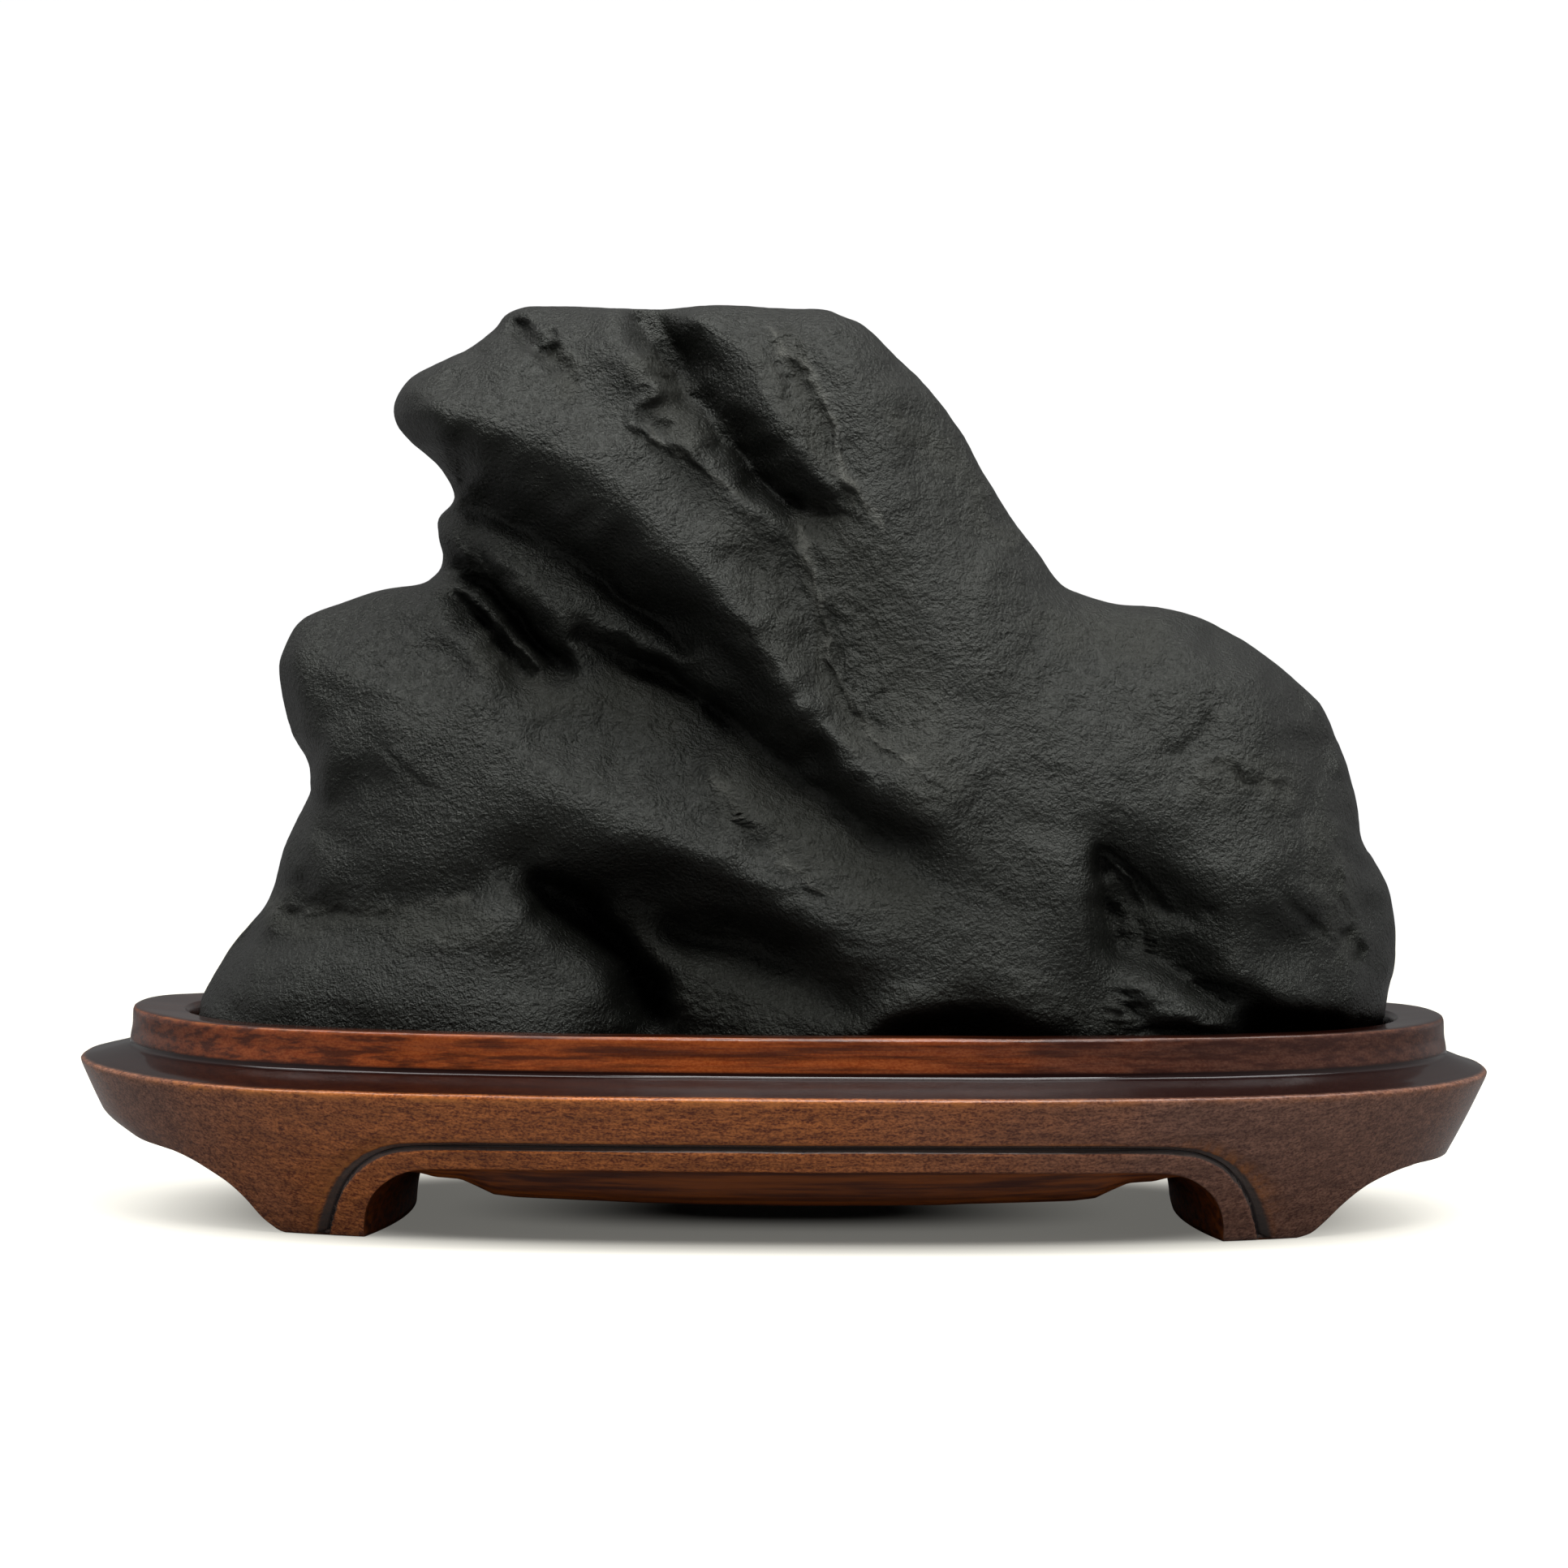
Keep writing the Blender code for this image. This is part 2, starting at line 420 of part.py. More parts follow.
def outline_reach(angles):
    """Distance from the rock's centre to its outline at each angle in the XZ plane."""
    sides = smooth_curve(OUTLINE_RIGHT + OUTLINE_SIDES, 1.0)
    foot = np.array([OUTLINE_SIDES[-1], *OUTLINE_FOOT, OUTLINE_RIGHT[0]], float)
    curve = np.concatenate([sides, foot]) - np.array(ROCK_CENTRE)
    turn = np.mod(np.arctan2(curve[:, 1], curve[:, 0]), 2 * np.pi)
    order = np.argsort(turn)
    foot_reach = (ROCK_CENTRE[1] - ROCK_FOOT) / np.maximum(-np.sin(angles), 1e-6)
    reach = np.interp(angles, turn[order], np.hypot(*curve.T)[order], period=2 * np.pi)
    left, right = OUTLINE_SIDES[-1][0], OUTLINE_RIGHT[0][0]
    foot_x = ROCK_CENTRE[0] + foot_reach * np.cos(angles)
    on_foot = (np.sin(angles) < 0) & (foot_x > left) & (foot_x < right)
    return np.where(on_foot, foot_reach, reach)


def relief(lines, facing):
    """A function of X and Z that passes through the lines, and through zero on the outline.

    It adds one cone for each point of the lines, and the radius of a line rounds its cones' tips, so the
    surface creases along a line of small radius and rolls over one of large radius. The cones add up to the
    square of the thickness, which turns the outline into a round edge.
    """
    rim = smooth_curve(OUTLINE_RIGHT + OUTLINE_SIDES, OUTLINE_STEP)
    rim = rim[rim[:, 1] > FOOT_TOP - RIM_BELOW_FOOT_TOP]
    places, targets, radii = [rim], [np.zeros(len(rim))], [np.full(len(rim), RIM_RADIUS)]
    for radius, line in lines.values():
        points = smooth_curve(line, max(FINEST_LINE_STEP, radius))
        places.append(points[:, :2])
        thickness = points[:, 2] + facing * middle_surface(points[:, 0], points[:, 1])
        targets.append(np.maximum(thickness, LEAST_THICKNESS) ** 2)
        radii.append(np.full(len(points), float(radius)))
    places, targets, radii = (np.concatenate(part) for part in (places, targets, radii))

    def cones(x, z):
        away = (x[:, None] - places[:, 0]) ** 2 + (z[:, None] - places[:, 1]) ** 2
        plane = np.column_stack([np.ones(len(x)), x, z])
        return np.column_stack([np.sqrt(away + radii ** 2), plane])

    balance = np.column_stack([np.ones(len(places)), places])
    system = np.vstack([
        cones(places[:, 0], places[:, 1]),
        np.column_stack([balance.T, np.zeros((3, 3))]),
    ])
    weights = np.linalg.solve(system, np.concatenate([targets, np.zeros(3)]))

    def thickness_at(x, z):
        squares = np.array([cones(a, b) @ weights for a, b in zip(x, z)])
        foot = 1 - np.abs((x - SEAT_SHIFT) / FOOT_HALF_LENGTH) ** PLAN_POWER
        seat = FOOT_HALF_DEPTH * np.maximum(0, foot) ** (1 / PLAN_POWER)
        limit = seat + FOOT_FLARE * np.maximum(0, z - FOOT_TOP)
        return np.minimum(np.sqrt(np.maximum(squares, 0)), limit)

    return thickness_at


def make_rock():
    """Two polar sheets, front and back, that share the outline and are closed by the flat foot."""
    angles = np.arange(SPOKES) / SPOKES * 2 * np.pi
    share = (np.arange(RINGS + 1) / RINGS)[:, None]
    reach = outline_reach(angles)
    x = ROCK_CENTRE[0] + share * reach * np.cos(angles)
    z = ROCK_CENTRE[1] + share * reach * np.sin(angles)
    on_foot = z[-1] < ROCK_FOOT + 0.001
    middle = middle_surface(x, z)
    sheets = []
    for facing, lines in ((1, FRONT), (-1, BACK)):
        thickness = relief(lines, facing)(x, z)
        thickness[-1, ~on_foot] = 0.0
        sheets.append(middle - facing * thickness)

    points = []
    rows = []
    for sheet in sheets:
        numbers = np.empty((RINGS + 1, SPOKES), int)
        for ring in range(RINGS + 1):
            for spoke in range(SPOKES):
                if ring == 0 and spoke > 0:
                    numbers[ring, spoke] = numbers[ring, 0]
                elif ring == RINGS and rows and not on_foot[spoke]:
                    numbers[ring, spoke] = rows[0][ring, spoke]
                else:
                    numbers[ring, spoke] = len(points)
                    points.append((x[ring, spoke], sheet[ring, spoke], z[ring, spoke]))
        rows.append(numbers)

    faces = []
    for numbers in rows:
        for ring in range(RINGS):
            for spoke in range(SPOKES):
                after = (spoke + 1) % SPOKES
                corners = [numbers[ring, spoke], numbers[ring, after],
                           numbers[ring + 1, after], numbers[ring + 1, spoke]]
                faces.append(tuple(dict.fromkeys(int(corner) for corner in corners)))
    for spoke in range(SPOKES):
        after = (spoke + 1) % SPOKES
        corners = [rows[0][-1, spoke], rows[0][-1, after], rows[1][-1, after], rows[1][-1, spoke]]
        corners = tuple(dict.fromkeys(int(corner) for corner in corners))
        if len(corners) > 2:
            faces.append(corners)

    black_stone = make_material("black_stone", (0.016, 0.016, 0.015), 0.5)
    rock = make_object("rock", points, faces, black_stone)
    triangles = sum(len(face) - 2 for face in faces)
    fewer = rock.modifiers.new("fewer_faces", "DECIMATE")
    fewer.ratio = ROCK_TRIANGLES / triangles
    return rock


clear_scene()
make_stand()
make_rock()
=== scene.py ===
"""A black scholars rock seated in its moulded stand of stained and lacquered wood.

The stone is a relief: crest and valley lines on its front and back, each with its own sharpness, joined at
a natural outline. The stand is one carved block: an oval moulding whose wall is cut from below into two
runner legs, with a bellied underside and a carved groove that follows the arch. Sizes are in millimetres
until the meshes are made.
"""

import math

import bmesh
import bpy
import numpy as np
from mathutils import Matrix, Vector, noise


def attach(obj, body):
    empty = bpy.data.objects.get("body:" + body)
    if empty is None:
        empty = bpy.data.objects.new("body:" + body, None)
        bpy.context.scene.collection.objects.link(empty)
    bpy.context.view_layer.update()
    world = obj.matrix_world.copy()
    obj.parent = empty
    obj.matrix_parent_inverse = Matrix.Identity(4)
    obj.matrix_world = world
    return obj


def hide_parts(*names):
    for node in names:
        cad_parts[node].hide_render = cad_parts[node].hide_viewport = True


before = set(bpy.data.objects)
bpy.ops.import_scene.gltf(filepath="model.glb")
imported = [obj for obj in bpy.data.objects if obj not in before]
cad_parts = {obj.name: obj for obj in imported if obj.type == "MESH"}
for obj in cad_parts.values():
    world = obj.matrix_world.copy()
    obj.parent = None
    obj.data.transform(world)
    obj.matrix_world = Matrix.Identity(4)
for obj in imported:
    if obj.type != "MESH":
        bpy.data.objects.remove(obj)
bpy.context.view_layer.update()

MM = 0.001
WELD = 1e-6  # metres

# ---------------------------------------------------------------- sizes of the stand

# Plan: an oval between an ellipse, whose power is 2, and a rectangle
LEDGE_HALF_LENGTH = 100.1
LEDGE_HALF_DEPTH = 47.9
PLAN_POWER = 2.5

# Collar and seat, each a little to the right of the ledge
COLLAR_SHIFT = 0.6
COLLAR_SHIFT_STARTS = 2.0
COLLAR_SHIFT_LENGTH = 4.0
COLLAR_HEIGHT = 28.55
RIM_STARTS = 8.2
SEAT_HALF_LENGTH = 85.95
SEAT_HALF_DEPTH = 35.0
SEAT_SHIFT = 1.05
SEAT_FLOOR = 21.7
SEAT_FLOOR_INSET = 1.5

# Legs: shift to the right, fading in over a length at each end; the arch is narrower from front to middle
LEG_SHIFT = 1.55
LEG_SHIFT_LENGTH = 3.0
LEG_SPREAD = 0.073
LEG_FRONT = 32.0

# Belly: how far it hangs, how squarely its sides drop, and how far inside the apron it starts
BELLY_DROP = 6.2
BELLY_POWER = 11
BELLY_SETBACK = 1.0
APRON_HEIGHT = 10.6

# How fully the belly hangs at a distance from the middle
BELLY_ALONG = [(0.0, 1.0), (20.0, 0.96), (38.0, 0.86), (41.0, 0.8), (45.5, 0.42), (49.0, 0.36), (54.0, 0.0)]

# Rise of the stand's ends: how much at the tip, left and right, and where it begins
END_RISE = (1.5, 0.7)
END_RISE_STARTS = 70.0
END_RISE_LENGTH = 30.0
END_RISE_POWER = 1.9
FULL_RISE_HEIGHT = 8.0

# The left end is rounded in at its foot: by how much, and from what height down
LEFT_TUCK = 2.2
LEFT_TUCK_STARTS = 14.0
LEFT_TUCK_POWER = 1.6
LEFT_TUCK_FROM = 82.0
LEFT_TUCK_LENGTH = 12.0

# Sloping wall from the floor up: inset from the ledge's edge, height
WALL_PROFILE = [(10.4, 0.0), (9.7, 0.9), (7.9, 4.4), (5.3, 9.6), (2.4, 15.2), (0.4, 19.4), (0.05, 20.3)]

# Ledge and cove, from the wall up to the collar, and the collar up to the seat's rim
LEDGE_PROFILE = [
    (0.05, 20.3), (0.0, 20.55), (0.2, 20.85), (0.7, 21.05), (2.4, 21.65), (4.4, 22.4), (5.5, 22.85),
    (5.9, 23.0), (6.15, 23.15), (6.25, 23.4), (6.32, 24.0),
]
COLLAR_PROFILE = [
    (6.32, 24.0), (6.4, 24.6), (6.6, 25.8), (6.65, 27.4), (6.7, 28.0), (6.85, 28.35), (7.2, 28.5),
    (RIM_STARTS, COLLAR_HEIGHT), (11.0, 28.45), (13.2, 28.35),
]

# Inside of the collar, from the rim down to the seat's floor: spread beyond the seat's size, height
SEAT_PROFILE = [(0.6, 28.3), (0.15, 28.1), (0.0, 27.6), (0.0, 25.0), (0.0, 22.5), (-0.8, SEAT_FLOOR)]

# Half of the arch between the legs, from the leg's inner edge at the floor to the middle of the apron
ARCH = [
    (58.8, 0.0), (58.6, 2.2), (58.2, 4.2), (57.4, 6.0), (56.4, 7.3), (55.2, 8.3), (53.8, 9.2),
    (52.0, 9.9), (49.6, 10.25), (46.0, 10.4), (38.0, 10.5), (0.0, 10.6),
]

# Edge beyond each leg, from the leg's outer edge at the floor out towards the end of the stand
LEFT_END_CURVE = [
    (69.9, 0.0), (70.8, 0.3), (71.5, 0.8), (73.1, 2.1), (75.3, 4.6), (77.4, 6.5), (79.4, 7.8),
    (83.1, 9.7), (86.2, 10.5),
]
RIGHT_END_CURVE = [
    (69.2, 0.0), (70.4, 0.3), (71.5, 0.8), (73.2, 2.3), (75.3, 4.4), (77.5, 6.2), (79.7, 7.5),
    (83.4, 8.8), (86.4, 9.3),
]

# Height of the wall's lower edge at the stand's tips, left and right, and where the tips begin
END_HEIGHTS = (10.7, 9.4)
END_STARTS = 87.6

# Half of the groove that follows the arch on the stand's front and back
GROOVE = [
    (63.9, -1.0), (63.75, 0.5), (63.2, 2.6), (62.4, 5.0), (61.7, 6.5), (60.7, 8.1), (59.0, 10.0),
    (57.3, 11.3), (55.4, 12.2), (53.0, 12.8), (48.0, 13.2), (36.0, 13.4), (0.0, 13.5),
]
GROOVE_CORNER = (59.2, 9.8)
SCOOP_REACH = 6.5
FAR_FROM_GROOVE = 99.0

# The groove's bevel widens down the legs: height, how much wider
GROOVE_WIDENING = [(2.0, 1.9), (9.0, 1.5), (12.5, 1.0)]

# Sizes of the carving, in metres
CARVING = {
    "Groove Depth": 0.9 * MM, "Groove Width": 0.6 * MM, "Bevel Width": 0.8 * MM, "Scoop Width": 3.6 * MM,
    "Scoop Depth": 0.6 * MM, "Unevenness": 0.35 * MM, "Seed": 5.0,
}

# Tool marks: per millimetre along the groove, how much they deepen the scoops, ripples per metre, and the
# heights between which they begin, above the flat soles
MARK_SCALE = 1.3
MARK_DEPTHS = (0.75, 1.25)
RIPPLE_SCALE = 55.0
FLAT_SOLE = (0.3, 1.5)

# Edges rubbed by handling: how much, inset and height of the edge, and how far the wear reaches
COLLAR_WEAR = (0.35, 6.9, 28.4, 0.2)
LEDGE_WEAR = (1.0, 0.1, 20.7, 0.25)
WALL_WEAR = 0.8
WALL_WEAR_REACH = 0.4

# How dark the stain is: in the seat, on the rim inside an inset, on the ledge over a range of insets, below
SEAT_STAIN = 0.8
RIM_STAIN = 0.85
RIM_STAIN_FROM = 6.95
LEDGE_STAIN_FROM = 0.15
LEDGE_STAIN_LENGTH = 0.6
UNDER_STAIN = 0.35

# How finely the stand's mesh is divided
END_POINTS = 14
COVE_POINTS = 30
SOLE_POINTS = 36
ARCH_POINTS = 96
SEAT_FLOOR_ROWS = (0.0, 0.5, 0.93)
WALL_ROWS = 50
WALL_CROWDING = 1.35
UNDER_ROWS = 23
UNDER_CROWDING = 1.5
TOP_SPREADING = 0.3
PLAN_STEPS = 4001
FINE_CURVE = 0.2
PROFILE_CURVE = 0.3
GROOVE_CURVE = 0.6
EDGE_ROUNDED_ROWS = 3
EDGE_ROUNDED_TIMES = 2

# ---------------------------------------------------------------- sizes of the stone

STONE_CENTRE = (4.0, 69.0)

# The foot, trimmed to the seat, and how fast the stone may widen above it
STONE_FOOT = 22.05
FOOT_HALF_LENGTH = 85.2
FOOT_HALF_DEPTH = 34.15
FOOT_TOP = 29.5
FOOT_FLARE = 1.6

# The stone's edge winds to the front and back above the foot, in one wave up and one across:
# size in millimetres, waves in radians per millimetre, and where the second begins
WINDING_STARTS = 32.0
WINDING_RISE = 28.0
WAVE_UP = 0.06
WAVE_ACROSS = 0.045
WAVE_ACROSS_SIZE = 2.5
WAVE_ACROSS_START = 0.8

# Rounding of the relief at the outline, and how closely its lines are followed
RIM_RADIUS = 0.5
RIM_BELOW_FOOT_TOP = 2.0
LEAST_THICKNESS = 0.5
EDGE_ROUNDING = 0.8
EDGE_REACH = 5.0
OUTLINE_STEP = 2.0
FINEST_LINE_STEP = 1.5
RELIEF_BATCHES = 40

# How finely the stone's mesh is divided: spokes round it, fewer of them within a share of the way out
SPOKES = 592
FOOT_SPOKES = 76
FRONT_RINGS = 150
BACK_RINGS = 60
RIM_CROWDING = 0.35
THINNED_TO_QUARTER = 0.2
THINNED_TO_HALF = 0.42
OUTLINE_CURVE = 0.5
STROKE_CURVE = 1.0
PATCH_CURVE = 2.0

# Wandering of the stone's lines: size of the waves and how far they reach
STRAY_SEED = 3
RELIEF_STRAY = [(9.0, 0.7), (3.5, 0.35)]
STRAY_FULL_DEPTH = 9.0
STROKE_STRAY = [(4.0, 0.5), (1.7, 0.28)]
PATCH_STRAY = [(5.0, 1.2)]

# Unevenness of the seams and of the pale edges with their painted highlight, in the same form, and the
# least and most it may do
STROKE_UNEVENNESS = [(3.0, 0.5)]
STROKE_WIDTHS = (0.5, 1.8)
STROKE_HEIGHTS = (0.3, 1.6)
BROAD_UNEVENNESS = 0.3
HIGHLIGHT_UNEVENNESS = [(2.5, 0.9)]
HIGHLIGHT_WIDTHS = (0.3, 2.2)

# Seams taper over this share of their length, to the square root of this share of their height,
# and fade out where the stone is thinner than this
STROKE_TAPER = 0.25
STROKE_END = 0.05
STROKE_FULL_DEPTH = 4.0

# The skin: heights in metres, and noise scales per metre
SKIN = {"Swell": 0.5 * MM, "Grain": 0.3 * MM, "Broken Skin": 0.9 * MM, "Seed": 3.0}
SWELL_SCALE = 95.0
GRAIN_SCALE = 330.0
WRINKLE_SCALE = 300.0
WRINKLE_LEVEL = 0.1
BACK_ROUGHNESS = 0.15

# Outline of the stone seen from the front, anticlockwise: from the top down the left side to the foot,
# and from the foot up the right side to the top
OUTLINE_SIDES = [
    (5, 128.8), (0, 128.9), (-10.5, 129.4), (-18, 128.8), (-25, 129), (-34, 129.2), (-37.8, 129.1),
    (-40.6, 127.9), (-42.2, 125.9), (-46.4, 122.8), (-51, 120.7), (-54, 119), (-55.9, 116.6),
    (-56.5, 114.4), (-56, 112.2), (-54.3, 110), (-51.7, 107.8), (-49.4, 105.5), (-47.7, 101.8),
    (-49.9, 98.9), (-50, 96.7), (-49.4, 93.8), (-49.6, 91.8), (-50.7, 90.5), (-52.5, 89.5), (-58, 88.5),
    (-63.7, 86.6), (-69.4, 84.2), (-71.9, 80.1), (-72.6, 76.5), (-71.1, 69), (-68.2, 63.4), (-67.8, 60.5),
    (-70, 55.5), (-72, 50.6), (-74.3, 43.7), (-79.2, 37.5), (-83.2, 30.6), (-83.8, 28), (-83.8, 22),
]
OUTLINE_RIGHT = [
    (85.6, 22), (86, 28.5), (87.5, 38.2), (86.9, 46), (84.6, 50.7), (82.7, 53.6), (81.7, 59.4),
    (79.8, 65.5), (77.2, 72.1), (74.8, 74.8), (68, 80.4), (62.8, 83.5), (58.8, 85.3), (53, 86.8),
    (47, 87.2), (42, 88.6), (38.8, 90.3), (35.6, 94.6), (31.8, 99.5), (28, 105.5), (24.8, 111.3),
    (20, 117.6), (15, 122.5), (12, 125.5), (10, 127), (7.7, 127.9),
]

